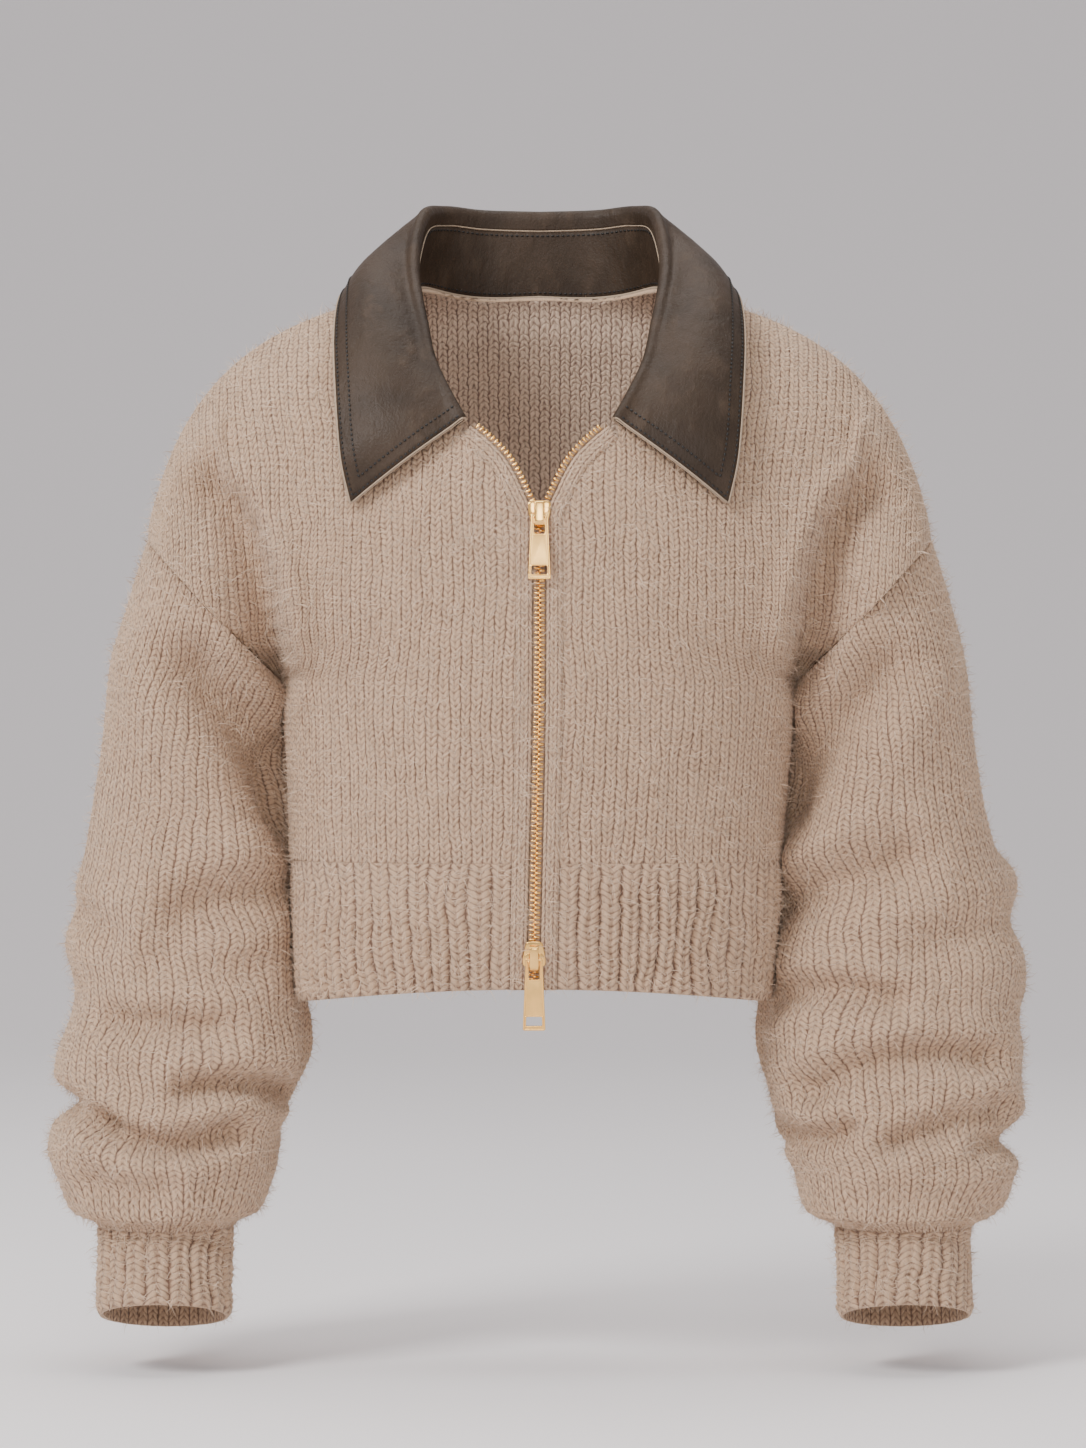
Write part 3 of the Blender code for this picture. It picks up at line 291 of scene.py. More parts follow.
def front_start(side):
    """(row, across) of the front's free edge, up the band and round the neck to the shoulder seam."""
    along = np.linspace(0, ZIP_LINE["along"][-1], 120)
    across, row = beside_zip(along, side, PANEL_EDGE)
    neck_across, neck_row = find_on_front(side * FRONT_NECK["x"], FRONT_NECK["z"], side)
    end = across_at_width(1.0, FRONT, side, NECK_WIDTH)
    return np.concatenate([row, neck_row, [1.0]]), np.concatenate([across, neck_across, [end]])


def across_at_width(row, face, side, width):
    tries = np.linspace(0, 1, 400)
    x = np.abs(torso(tries, row, face, side)[..., 0])
    return float(np.interp(width, x, tries))


def back_start(row, side):
    """across of the back neck's edge on a row above its lowest point."""
    tries = np.linspace(0, 0.6, 600)
    place = torso(tries, row, BACK, side)
    size = (np.abs(place[:, 0]) / NECK_WIDTH) ** NECK_SQUARE + (np.abs(place[:, 1]) / NECK_DEPTH) ** NECK_SQUARE
    return float(np.interp(1.0, size, tries)) if row > NECK_BACK_ROW else 0.0


# ---------------------------------------------------------------- sleeves and cuffs

SLEEVE = {
    LEFT: table(
        "outer_x outer_z inner_x inner_z centre_y depth",
        (270, -166, 178, -262, 0, 68), (283, -207, 181.5, -280, 4, 70), (290, -235, 184, -303, 9, 71),
        (297, -276, 183, -326, 15, 72), (304, -317, 180, -352, 20, 72), (312, -359, 177, -380, 24, 72),
        (325, -400, 175, -411, 26, 73), (334, -442, 173, -445, 26, 75), (334, -483, 167, -483, 23, 77),
        (333, -524, 163, -524, 16, 78), (330, -552, 165, -552, 10, 77), (321, -574, 168, -574, 5, 74),
        (327, -594, 175, -594, 0, 72), (320, -612, 180, -611, -6, 66), (304, -626, 192, -625, -11, 55),
        (297, -637, 203, -637, -14, 46.5),
    ),
    RIGHT: table(
        "outer_x outer_z inner_x inner_z centre_y depth",
        (270, -166, 178, -262, 0, 68), (283, -207, 182.5, -280, 4, 70), (290, -235, 185.5, -303, 9, 71),
        (299, -276, 185, -326, 15, 72), (306, -317, 183, -352, 20, 72), (314, -359, 182, -380, 24, 72),
        (320, -400, 181, -411, 26, 73), (326, -442, 179.5, -445, 26, 75), (322, -483, 176, -483, 23, 77),
        (334, -524, 169, -524, 16, 78), (326, -552, 175, -552, 10, 76), (338, -580, 181, -580, 4, 74),
        (334, -598, 182, -598, -1, 71), (322, -614, 190, -613, -6, 64), (308, -626, 203, -625, -11, 54),
        (303, -637, 210, -637, -14, 46.5),
    ),
}
FOLDS = {               # troughs as they show from the front: ends and middle, depth and half width
    LEFT: table(
        "x1 z1 x2 z2 x3 z3 depth width",
        (172, -420, 210, -402, 248, -386, 12, 14), (164, -486, 202, -474, 242, -480, 12, 8.5),
        (190, -541, 246, -519, 303, -520, 14, 8.5), (164, -571, 189, -574, 208, -567, 11, 7),
        (240, -576, 270, -565, 310, -555, 12, 7.5), (300, -577, 316, -577, 330, -577, 9, 8),
        (215, -611, 262, -613, 306, -616, 5, 6), (262, -446, 292, -436, 324, -430, 6, 12),
        (182, -352, 200, -312, 232, -256, 18, 17),
    ),
    RIGHT: table(
        "x1 z1 x2 z2 x3 z3 depth width",
        (177, -405, 207, -406, 243, -422, 14, 14), (226, -499, 256, -497, 290, -495, 10, 8.5),
        (176, -543, 207, -538, 240, -540, 16, 7.5), (296, -562, 306, -558, 324, -552, 10, 7.5),
        (210, -568, 252, -578, 292, -566, 16, 8), (253, -604, 278, -607, 306, -603, 6, 7),
        (293, -436, 304, -430, 315, -425, 7, 10), (179, -364, 200, -312, 236, -250, 28, 18),
        (214, -460, 240, -452, 262, -454, 5, 10),
    ),
}
CUFF_LENGTH, CUFF_TILT, CUFF_RIBS = 62.5, math.radians(17), 18
CUFF_TAPER = 0.97       # the cuff's free edge against its top


def sleeve(around, at, side):
    """Outer face of a sleeve: around is an angle from its outer line by the front."""
    sections = dict(SLEEVE[side], ring=np.arange(len(SLEEVE[side]["depth"]), dtype=float))
    around, at = np.broadcast_arrays(np.asarray(around, float), np.asarray(at, float))
    names = ("outer_x", "outer_z", "inner_x", "inner_z", "centre_y", "depth")
    ox, oz, ix, iz, cy, depth = columns_at(at, "ring", sections, *names)
    middle = points((ox + ix) / 2, cy, (oz + iz) / 2)
    reach = points((ox - ix) / 2, 0, (oz - iz) / 2)
    square = 2 + 0.3 * ease(at, 1, 6) * (1 - ease(at, 12, 15))
    c, s = np.cos(around), np.sin(around)
    size = (np.abs(c) ** square + np.abs(s) ** square) ** (-1 / square)
    place = middle + (size * c)[..., None] * reach + points(0, -size * s * depth, 0)
    place = armpit(place)
    inwards = unit(middle - place)
    place = place + folds(place, side)[..., None] * inwards
    return place * (side, 1, 1)


def folds(place, side):
    """How far each point sinks into the troughs of a sleeve; behind, they lie mirrored and a little lower."""
    behind = ease(place[..., 1], -5, 25)
    x, z = np.abs(place[..., 0]), place[..., 2]
    middle = 0.5 * (np.min(SLEEVE[side]["inner_x"]) + np.max(SLEEVE[side]["outer_x"]))
    total = (1 - behind) * sunk(x, z, FOLDS[side]) + 0.7 * behind * sunk(2 * middle - x, z + 12, FOLDS[side])
    return total * (1 - ease(z, -262, -205)) * (1 - ease(-z, 622, 636))


def sunk(x, z, troughs):
    """Depth of a place below the cloth's plain face from troughs along curved lines, with a low swell beside each."""
    total = np.zeros(x.shape)
    for k in range(len(troughs["depth"])):
        f = {name: values[k] for name, values in troughs.items()}
        t = np.linspace(0, 1, 13)
        line_x = (1 - t) ** 2 * f["x1"] + 2 * t * (1 - t) * (2 * f["x2"] - (f["x1"] + f["x3"]) / 2) + t * t * f["x3"]
        line_z = (1 - t) ** 2 * f["z1"] + 2 * t * (1 - t) * (2 * f["z2"] - (f["z1"] + f["z3"]) / 2) + t * t * f["z3"]
        apart = (x[..., None] - line_x) ** 2 + (z[..., None] - line_z) ** 2
        near = apart.min(axis=-1)
        beyond = np.tanh((x - line_x[apart.argmin(axis=-1)]) / 4)
        width = f["width"] * (1 + f.get("lean", 0.0) * beyond)
        total = total + f["depth"] * np.exp(-near / width**2) - 0.35 * f["depth"] * np.exp(
            -((np.sqrt(near) - 2.2 * width) / width) ** 2
        )
    return total


# ---------------------------------------------------------------- places beside the zip


def offset_place(along, side, offset):
    return torso(*beside_zip(along, side, offset), FRONT, side)


# ---------------------------------------------------------------- collar

SETBACK = 1.2           # the stand sits this far back from the neck's edge, so that edge shows as a thin binding
FOLD_RADIUS = 3.6
STAND_SEAM = 10.0       # the leaf's seam lies this far below the fold, on the inside
LEAF_CLEAR = 1.0        # least gap between the leaf and the knit
FOLD_LINE = table(
    "share x y z",     # from the centre back to the front end, for the left side
    (0, 0, 79, 69), (0.16, 42, 76, 70), (0.27, 67, 60, 71), (0.36, 80.5, 34, 66), (0.45, 86.5, 10, 44),
    (0.53, 87, -13, 22), (0.61, 83, -36, 1), (0.70, 77.5, -56, -21), (0.79, 72.5, -73, -43),
    (0.87, 65.5, -86, -60), (0.94, 58, -96, -75), (1, 51, -103, -88),
)
LEAF_EDGE = table(
    "share x y z",
    (0, 0, 101, -4), (0.16, 52, 99, -3), (0.27, 88, 84, 0), (0.36, 113, 56, 4), (0.45, 128, 26, 7),
    (0.53, 135.5, -2, 4), (0.61, 138.5, -28, -9), (0.70, 139, -56, -34), (0.79, 137, -80, -66),
    (0.87, 134.5, -93, -97), (0.94, 131.5, -100, -121), (1, 126, -99, -144.5),
)
LEAF_BULGE = table("share bulge", (0, 7), (0.36, 10), (0.5, 12), (0.7, 9), (0.87, 7), (1, 6))


def neck_edge(side):
    """Points and faces' normals along the neck's edge, from the centre back to the front end."""
    rows = NECK_BACK_ROW + (1 - NECK_BACK_ROW) * np.linspace(0, 1, 24) ** 2
    behind = np.array([back_start(row, side) for row in rows])
    place = [torso(behind, rows, BACK, side)]
    normal = [torso_normal(behind, rows, BACK, side)]
    rows_at, across_at = front_start(side)
    _, low = find_on_front(side * FRONT_NECK["x"][0], FRONT_NECK["z"][0], side)
    rows = np.linspace(0.998, low, 24)
    ahead = np.interp(rows, rows_at, across_at)
    place.append(torso(ahead, rows, FRONT, side))
    normal.append(torso_normal(ahead, rows, FRONT, side))
    place, normal = np.concatenate(place), np.concatenate(normal)
    run = np.concatenate([[0], np.linalg.norm(np.diff(place, axis=0), axis=1).cumsum()])
    share = run / run[-1]
    even = np.linspace(0, 1, 49)
    place = np.array([np.interp(even, share, place[:, c]) for c in range(3)]).T
    normal = unit(np.array([np.interp(even, share, normal[:, c]) for c in range(3)]).T)
    for _ in range(3):
        normal[1:-1] = unit(normal[:-2] + 2 * normal[1:-1] + normal[2:])
    return even, place, normal


def neck_frame(share, side):
    even, place, normal = neck_edge(side)
    tangent = unit(np.gradient(place, axis=0))
    read = lambda values: np.array([np.interp(share, even, values[:, c]) for c in range(3)]).T
    place, normal, tangent = read(place), unit(read(normal)), unit(read(tangent))
    into = unit(np.cross(normal, tangent)) * side
    return place, normal, into


def collar_rows(shares, side):
    """Middle lines of the collar on one side: base with the ways off and into the cloth, fold and edge, and the ways up
    and out at the fold.
    """
    base, normal, into = neck_frame(shares, side)
    turn = np.array((side, 1, 1))
    fold = points(*columns_at(shares, "share", FOLD_LINE, "x", "y", "z")) * turn
    edge = points(*columns_at(shares, "share", LEAF_EDGE, "x", "y", "z")) * turn
    tangent = unit(np.gradient(fold, axis=0))
    rise = fold - base - (SETBACK + LEATHER / 2) * into
    rise = unit(rise - (rise * tangent).sum(-1, keepdims=True) * tangent)
    out = unit(np.cross(tangent, rise)) * -side
    return base, normal, into, fold, edge, rise, out


def stand_and_leaf(shares, side):
    base, normal, into, fold, edge, rise, out = collar_rows(shares, side)
    half = LEATHER / 2
    ridge = np.exp(-((base[:, 1:2] / 9) ** 2))
    foot = base + (SETBACK + half) * into + (0.6 + 2.0 * ridge) * normal
    inner_foot = fold - FOLD_RADIUS * out - FOLD_RADIUS * rise
    height = np.linalg.norm(inner_foot - foot, axis=-1, keepdims=True)
    drop = np.minimum(STAND_SEAM, 0.4 * height)
    way = unit(inner_foot - foot)
    seam = inner_foot - drop * way
    outwards = unit(np.cross(np.cross(out, way), way)) * -1
    stand_outer = [foot + half * into, (foot + seam) / 2 + half * outwards, seam - SEAM / 2 * way + half * outwards]
    stand_inner = [foot - half * into, (foot + seam) / 2 - half * outwards, seam - SEAM / 2 * way - half * outwards]
    middle = [seam + SEAM / 2 * way]
    thick = [outwards]
    for angle in (0, 60, 120, 180):
        a = math.radians(angle)
        thick.append(-(-math.cos(a) * out + math.sin(a) * rise))
        middle.append(fold - FOLD_RADIUS * rise + FOLD_RADIUS * (-math.cos(a) * out + math.sin(a) * rise))
    outer_foot = middle[-1]
    bulge = columns_at(shares, "share", LEAF_BULGE, "bulge")[0][:, None]
    along = unit(np.gradient(edge + fold, axis=0))
    for step in (0.12, 0.28, 0.46, 0.64, 0.82, 1.0):
        straight = outer_foot + (edge - outer_foot) * step
        lift = unit(np.cross(along, edge - fold)) * -side
        outward = (lift * (0, 0, 1)).sum(-1, keepdims=True) + (lift * out).sum(-1, keepdims=True)
        lift = np.where(outward < 0, -lift, lift)
        middle.append(straight + 4 * bulge * step * (1 - step) * lift)
        thick.append(-lift)
    middle, thick = np.array(middle), np.array(thick)
    return np.array(stand_outer), np.array(stand_inner), middle - half * thick, middle + half * thick


# ---------------------------------------------------------------- sliders and pulls

# sizes of a slider and its pull; heights are out of the cloth's face, drops are below the slider's top
SLIDER = dict(wide=15.2, narrow=10.8, length=17.0, front=1.1, plate=1.4, back=-5.8)
POST = dict(width=2.3, height=2.4)
BRIDGE = dict(width=6.0, reach=7.0, above=10.0, below=7.6, eye_low=2.8, eye_high=5.7)
TAB = dict(top=11.3, bottom=15.2, over=0.9, thick=1.6, slot=7.2, slot_end=13.0)
WINDOW = dict(above_end=9.2, high=6.0, half_top=5.2, half_bottom=5.4)
PIVOT_HEIGHT = 4.25     # the tab's bar over the cloth's face
PIVOT_DROP = {False: -10.4, True: -12.4}    # of the upper slider, and of the lower one, which is turned over
SHOULDER_THICK = {False: 1.7, True: 0.9}    # the lower slider's stay clear of its pull as that swings up
RIM, FRAME_RIM = 1.2, 0.9   # widths of the tab's raised rim, and of the rims round its slot and window
ZIPS = (("top", -144.1, False, 44.5), ("bottom", -437.2, True, 48.0))   # slider's top, turned over, pull's length


def zip_place(z):
    """Frame on the zip line at a height: X across, Y up along the line, Z straight out of the cloth."""
    rows = np.linspace(HEM_ROW, 0.75, 300)
    line = torso(0.0, rows, FRONT)
    at = np.array([np.interp(z, line[:, 2], line[:, c]) for c in range(3)])
    above = np.array([np.interp(z + 5, line[:, 2], line[:, c]) for c in range(3)])
    across = Vector((1, 0, 0))
    out = across.cross(Vector(above - at)).normalized()
    up = out.cross(across)
    frame = Matrix((across, up, out)).transposed().to_4x4()
    frame.translation = Vector(at) * MM
    return frame


# ---------------------------------------------------------------- settings


def size_prop(name, text, default):
    return FloatProperty(name=name, description=text, default=default, min=0, unit="LENGTH", precision=5)


def colour_prop(name, text, default):
    return FloatVectorProperty(name=name, description=text, default=default, size=3, min=0, max=1, subtype="COLOR")


def from_hex(code):
    """Linear colour of an sRGB hex value."""
    channels = [int(code[k:k + 2], 16) / 255 for k in (0, 2, 4)]
    return tuple(c / 12.92 if c <= 0.04045 else ((c + 0.055) / 1.055) ** 2.4 for c in channels)


class KnitSettings(bpy.types.PropertyGroup):
    yarn: colour_prop("Yarn", "Colour of the crest of a stitch", from_hex("CBAA8C"))
    # The groove colour is painted shade: the knit is drawn darker between the stitches, where shade falls.
    painted_groove_shade: colour_prop("Groove", "Colour between the stitches", from_hex("75594A"))
    nap: colour_prop("Nap", "Colour of the brushed fibres", from_hex("DFC4AA"))
    relief: size_prop("Stitch relief", "How far a stitch stands out of the wall", 0.0008)
    nap_length: size_prop("Nap length", "Length of a brushed fibre", 0.0085)
    nap_width: size_prop("Nap width", "Width of a brushed fibre at its root", 0.0004)
    nap_density: FloatProperty(
        name="Nap density", description="Fibres on each square metre", default=90000, min=0, max=300000
    )


class LeatherSettings(bpy.types.PropertyGroup):
    hide: colour_prop("Leather", "Colour of the collar", from_hex("3C3026"))
    raw_edge: colour_prop("Raw edge", "Colour of the cut edge", from_hex("A8937D"))
    thread: colour_prop("Thread", "Colour of the topstitching", from_hex("0F0B08"))
    stitch_pitch: size_prop("Stitch pitch", "From one topstitch to the next", 0.0036)
    seam_near: size_prop("Outer row", "From the edge to the outer row of topstitching", 0.0022)
    seam_far: size_prop("Inner row", "From the edge to the inner row of topstitching", 0.0105)


class ZipSettings(bpy.types.PropertyGroup):
    metal: colour_prop("Metal", "Colour of teeth, sliders and pulls", from_hex("FFCB78"))
    # The tape colour is set darker than the woven tape itself, as painted shade beside the teeth.
    tape: colour_prop("Tape", "Colour of the woven tape", from_hex("9C8067"))
    tooth_pitch: size_prop("Tooth pitch", "From one tooth to the next on one tape", 0.0033)


class StageSettings(bpy.types.PropertyGroup):
    paper: colour_prop("Paper", "Colour of floor and backdrop", from_hex("FAF5F5"))
    floor_height: FloatProperty(
        name="Floor height", description="Height of the floor", default=-0.735, unit="LENGTH"
    )
    distance: size_prop("Camera distance", "From the zip's plane to the camera", 3.2)


# ---------------------------------------------------------------- faces read from a grid


class Face:
    """A smooth face of a wall, read anywhere from a grid of its points, with v down the rows and u along them."""

    def __init__(self, u, v, place, outward, tube=False):
        self.u, self.v, self.place = u, v, place
        around, steps = place, u
        if tube:
            around = np.concatenate([place[:, -2:-1], place, place[:, 1:2]], axis=1)
            steps = np.concatenate([[u[0] - u[-1] + u[-2]], u, [u[-1] + u[1] - u[0]]])
        along = np.gradient(around, steps, axis=1)
        along = along[:, 1:-1] if tube else along
        self.normal = unit(np.cross(along, np.gradient(place, v, axis=0))) * outward

    def read(self, u, v):
        i = np.clip(np.searchsorted(self.u, u, side="right") - 1, 0, len(self.u) - 2)
        j = np.clip(np.searchsorted(self.v, v, side="right") - 1, 0, len(self.v) - 2)
        s = ((u - self.u[i]) / (self.u[i + 1] - self.u[i]))[..., None]
        t = ((v - self.v[j]) / (self.v[j + 1] - self.v[j]))[..., None]

        def mix(values):
            low = values[j, i] * (1 - s) + values[j, i + 1] * s
            return low * (1 - t) + (values[j + 1, i] * (1 - s) + values[j + 1, i + 1] * s) * t

        return mix(self.place), unit(mix(self.normal))


def uneven(u, v, cell_u, cell_v, seed):
    """Smooth noise from -1 to 1, in cells of that size."""
    grid = np.random.default_rng(seed).uniform(-1, 1, (64, 64))
    x, y = np.asarray(u, float) / cell_u, np.asarray(v, float) / cell_v
    i, j = np.floor(x).astype(int), np.floor(y).astype(int)
    s, t = x - i, y - j
    s, t = s * s * (3 - 2 * s), t * t * (3 - 2 * t)
    low = grid[j % 64, i % 64] * (1 - s) + grid[j % 64, (i + 1) % 64] * s
    return low * (1 - t) + (grid[(j + 1) % 64, i % 64] * (1 - s) + grid[(j + 1) % 64, (i + 1) % 64] * s) * t


CHEST_FOLD = table("x1 z1 x2 z2 x3 z3 depth width lean", (216, -138, 191, -184, 179, -262, 24, 16, 0.45))


def torso_face(face, side):
    """Half a front, or the whole back with u from -1 at the wearer's right to 1."""
    rows = np.linspace(HEM_ROW, 1, 170)
    if face == FRONT:
        across = np.linspace(-0.02, 1, 150)
        grid_u, grid_v = np.meshgrid(across, rows)
        place = torso(grid_u, grid_v, FRONT, side)
        place[..., 1] += sunk(np.abs(place[..., 0]), place[..., 2], CHEST_FOLD) * ease(-place[..., 1], 6, 40)
        return Face(across, rows, place, side)
    across = np.linspace(-1, 1, 221)
    grid_u, grid_v = np.meshgrid(across, rows)
    place = np.where(
        (grid_u < 0)[..., None], torso(-grid_u, grid_v, BACK, RIGHT), torso(np.abs(grid_u), grid_v, BACK, LEFT)
    )
    return Face(across, rows, place, -1)


def sleeve_face(side):
    """The sleeve as u round it and v from the armhole, paced evenly along its length."""
    at = np.linspace(0, 15, 241)
    middle = (sleeve(0.0, at, side) + sleeve(np.pi, at, side)) / 2
    run = np.concatenate([[0], np.linalg.norm(np.diff(middle, axis=0), axis=1).cumsum()])
    rings = np.interp(np.linspace(0, 1, 241), run / run[-1], at)
    around = np.linspace(0, 2 * np.pi, 181)
    grid_u, grid_v = np.meshgrid(around, rings)
    place = sleeve(grid_u, grid_v, side)
    turn = np.array((side, 1, 1))
    seam = lean(armpit(armhole(around) * (1, -1, 1)) * turn) + SEAM / 2 * ARM_WAY * turn
    blend = (1 - ease(grid_v, 0, 0.35))[..., None]
    place = place + blend * (seam - place[0])
    place = against_body(place, side)
    return Face(around / (2 * np.pi), np.linspace(0, 1, 241), place, side, tube=True)


def even_wales(face, side):
    """How much narrower a wale is than a share of its row, so that wales run on straight to the armhole."""
    rows = np.linspace(HEM_ROW, 1, 60)
    grid_u, grid_v = np.meshgrid(np.linspace(0, 1, 50), rows)
    wide = np.linalg.norm(np.diff(torso(grid_u, grid_v, face, side), axis=1), axis=-1).sum(axis=1)
    pace = np.where(rows > PIT_ROW, np.interp(PIT_ROW, rows, wide) / wide, 1)
    return lambda v: np.interp(v, rows, pace)


PIT_ROW = 0.4


def against_body(place, side):
    """The sleeve's inner side drawn in to the body and pressed round it, and its end let sag over the cuff."""
    down = np.linspace(0, 1, len(place))[:, None]
    z = place[..., 2]
    inner = 1 - ease(np.abs(place[..., 0]), 185, 262)
    place = place - points(side * SLEEVE_DRAW * inner * ease(-z, 262, 296) * (1 - ease(-z, 505, 560)), 0, 0)
    angle = np.linspace(0, 2 * np.pi, place.shape[1])
    sag = np.exp(-(((down - 0.957) / 0.022) ** 2)) + 0.0 * angle
    centre = place.mean(axis=1, keepdims=True)
    place = place + sag[..., None] * (3.0 * unit((place - centre) * (1, 1, 0)) - (0, 0, 8.5))
    body = body_tree(side)
    for _ in range(4):
        around = np.concatenate([place[:, -2:-1], place, place[:, 1:2]], axis=1)
        soft = (around[:, :-2] + 2 * place + around[:, 2:]) / 4
        place[1:-1] = (soft[:-2] + 2 * soft[1:-1] + soft[2:])[:] / 4
    moved = np.zeros(place.shape)
    for spot in np.ndindex(place.shape[:-1]):
        if spot[0] > 16 and place[spot][2] > -540:
            found, normal, _, _ = body.find_nearest(Vector(place[spot]))
            gap = (Vector(place[spot]) - found).dot(normal)
            if gap < KNIT_CLEAR:
                moved[spot] = np.array(normal) * (KNIT_CLEAR - gap)
    place = place + moved
    place[:, -1] = place[:, 0]
    return place


SLEEVE_DRAW, KNIT_CLEAR = 15.0, 2.4


def body_tree(side):
    """The body's closed outer face on one side, hem rib and all."""
    across, rows = np.linspace(0, 1, 60), np.linspace(HEM_ROW, 0.8, 110)
    grid_u, grid_v = np.meshgrid(across, rows)
    front = torso(grid_u, grid_v, FRONT, side)
    place = np.concatenate([front, torso(grid_u, grid_v, BACK, side)[:, ::-1]], axis=1)
    count = place.shape[1]
    index = np.arange(place.shape[0] * count).reshape(-1, count)
    cells = np.stack([index[:-1, :-1], index[:-1, 1:], index[1:, 1:], index[1:, :-1]], axis=-1).reshape(-1, 4)
    cells = cells if side == LEFT else cells[:, ::-1]
    return BVHTree.FromPolygons(place.reshape(-1, 3).tolist(), cells.tolist())


def cuff_face(side):
    """The cuff as u round it and v down it."""
    last = {name: values[-1] for name, values in SLEEVE[side].items()}
    centre = np.array(((last["outer_x"] + last["inner_x"]) / 2, last["centre_y"], last["outer_z"]))
    radius = (last["outer_x"] - last["inner_x"]) / 2
    angle, down = np.meshgrid(np.linspace(0, 2 * np.pi, 145), np.linspace(0, 1, 33))
    tilt = CUFF_TILT * ease(down, 0, 0.35)
    size = 1 - (1 - CUFF_TAPER) * ease(down, 0, 0.2)
    out = points(np.cos(angle), -np.sin(angle) * last["depth"] / radius, 0)
    lean_z = -out[..., 1] * np.sin(tilt)
    tilted = np.stack([out[..., 0], out[..., 1] * np.cos(tilt), lean_z], axis=-1)
    run = down * CUFF_LENGTH
    middle = centre + points(0, -run * np.sin(CUFF_TILT) * ease(down, 0, 0.5), -run * np.cos(tilt))
    place = (middle + tilted * radius * size[..., None]) * (side, 1, 1)
    return Face(np.linspace(0, 1, 145), np.linspace(0, 1, 33), place, side, tube=True)


# ---------------------------------------------------------------- knitted cloth

LEG_SLANT = 0.42        # share of a course by which a stitch's leg rises from the wale's middle to its edge
STITCH = table("rise crest slant", (-1.2, -1.1, 1), (0.2, 1, 0), (-0.2, 0.3, -1), (0.2, 1, 0))
RIB = table(
    "rise crest slant",   # a rib's columns from the valley over two legs: between stitches, on their crests
    (-2.4, -2.3, 1.3), (-0.9, -0.2, 0.8), (0.7, 1.5, 0.2), (0.5, 1.4, -0.5),
    (-0.6, -0.3, -1.2), (0.5, 1.4, -0.5), (0.7, 1.5, 0.2), (-0.9, -0.2, 0.8),
)


def stitched(face, wales, courses, pattern, relief, u_span=(0, 1), v_span=(0, 1), start=None, stop=None, pace=None,
             seed=1, tube=False, seams=(1, 1, 1, 1), lift=0.0, fade=0.0):
    """Grid of raised stitches: points, their place on the pattern, and which points a neckline cuts off."""
    per = len(pattern["rise"])

    def rough(wale, course, cell_u, cell_v, seed):
        value = uneven(wale, course, cell_u, cell_v, seed)
        if not tube:
            return value
        share = ease(wale, wales - 4, wales)
        return value * (1 - share) + share * uneven(wale - wales, course, cell_u, cell_v, seed)

    c, r = np.meshgrid(np.arange(per * wales + 1), np.arange(2 * courses + 1))
    course = np.clip(r / 2 + LEG_SLANT * pattern["slant"][c % per], 0, courses)
    course[0], course[-1] = 0, courses
    wale = c / per
    from_side = np.full(wale.shape, 99.0) if tube else np.minimum(wale, wales - wale)
    sway = rough(wale, course, 2.6, 7, seed) * 0.26 + rough(wale, course, 1.1, 1.7, seed + 5) * 0.09
    sway = sway * ease(from_side, 0, 2)
    u = u_span[0] + (u_span[1] - u_span[0]) * (wale + sway) / wales
    v = v_span[0] + (v_span[1] - v_span[0]) * course / courses
    u, v, cut, to_edge = trimmed(u, v, start, stop, pace)
    from_side = np.minimum(from_side, to_edge / abs(u_span[1] - u_span[0]) * wales)
    place, normal = face.read(u, v)
    rise = np.where(r % 2 == 1, pattern["crest"][c % per], pattern["rise"][c % per])
    if fade:
        relief = relief * (0.15 + 0.85 * ease(courses - course, 0, fade))
    matted = 1 - 0.55 * ease(rough(wale, course, 5, 9, seed + 4), -0.1, 0.7)
    rise = rise * (1 + 0.5 * rough(wale, course, 0.8, 0.9, seed + 1)) * relief * matted
    rise = rise + (0.6 * rough(wale, course, 6, 8, seed + 2) + 0.22 * rough(wale, course, 1.3, 1.6, seed + 3)) * lift
    left, right, bottom, top = seams
    sides = (from_side, left) if left == right else (np.where(wale < wales / 2, wale, 99), left)
    for distance, depth in (sides, (course, bottom), (courses - course, top)):
        close = 1 - ease(distance, 0, 1.1)
        rise = rise * (1 - 0.8 * close) - depth * close
    rise = np.where(cut, -left, rise)
    place = place + rise[..., None] * normal
    if tube:
        place[:, -1] = place[:, 0]
    return place, np.stack([wale, course], axis=-1), cut


def trimmed(u, v, start, stop, pace):
    """Points moved back to the neckline or armhole that they pass, which they are, and how far inside the rest lie."""
    cut, to_edge = np.zeros(u.shape, bool), np.full(u.shape, 99.0)
    if stop is not None:
        end = stop(np.abs(u))
        cut, to_edge = v > end, np.where(end < 1, np.maximum(end - v, 0) * 1.6, 99.0)
        v = np.minimum(v, end)
    if pace is not None:
        u = u * pace(v)
        cut, to_edge = cut | (np.abs(u) > 1), np.minimum(to_edge, np.maximum(1 - np.abs(u), 0))
        u = np.clip(u, -1, 1)
    if start is not None:
        edge = start(v)
        inside = np.abs(u) - edge
        cut, to_edge = cut | (inside < 0), np.minimum(to_edge, np.maximum(inside, 0))
        u = np.where(inside < 0, np.where(u < 0, -edge, edge), u)
    return u, v, cut, to_edge


def plain(face, wales, courses, depth, u_span=(0, 1), v_span=(0, 1), start=None, stop=None, pace=None, tube=False,
          fine=1):
    """Grid of the wall's inner face, with fine cells to each stitch."""
    wale, course = np.meshgrid(np.arange(wales * fine + 1) / fine, np.arange(courses + 1.0))
    u = u_span[0] + (u_span[1] - u_span[0]) * wale / wales
    v = v_span[0] + (v_span[1] - v_span[0]) * course / courses
    u, v, cut, _ = trimmed(u, v, start, stop, pace)
    place, normal = face.read(u, v)
    place = place - depth * normal
    if tube:
        place[:, -1] = place[:, 0]
    return place, np.stack([wale, course], axis=-1), cut


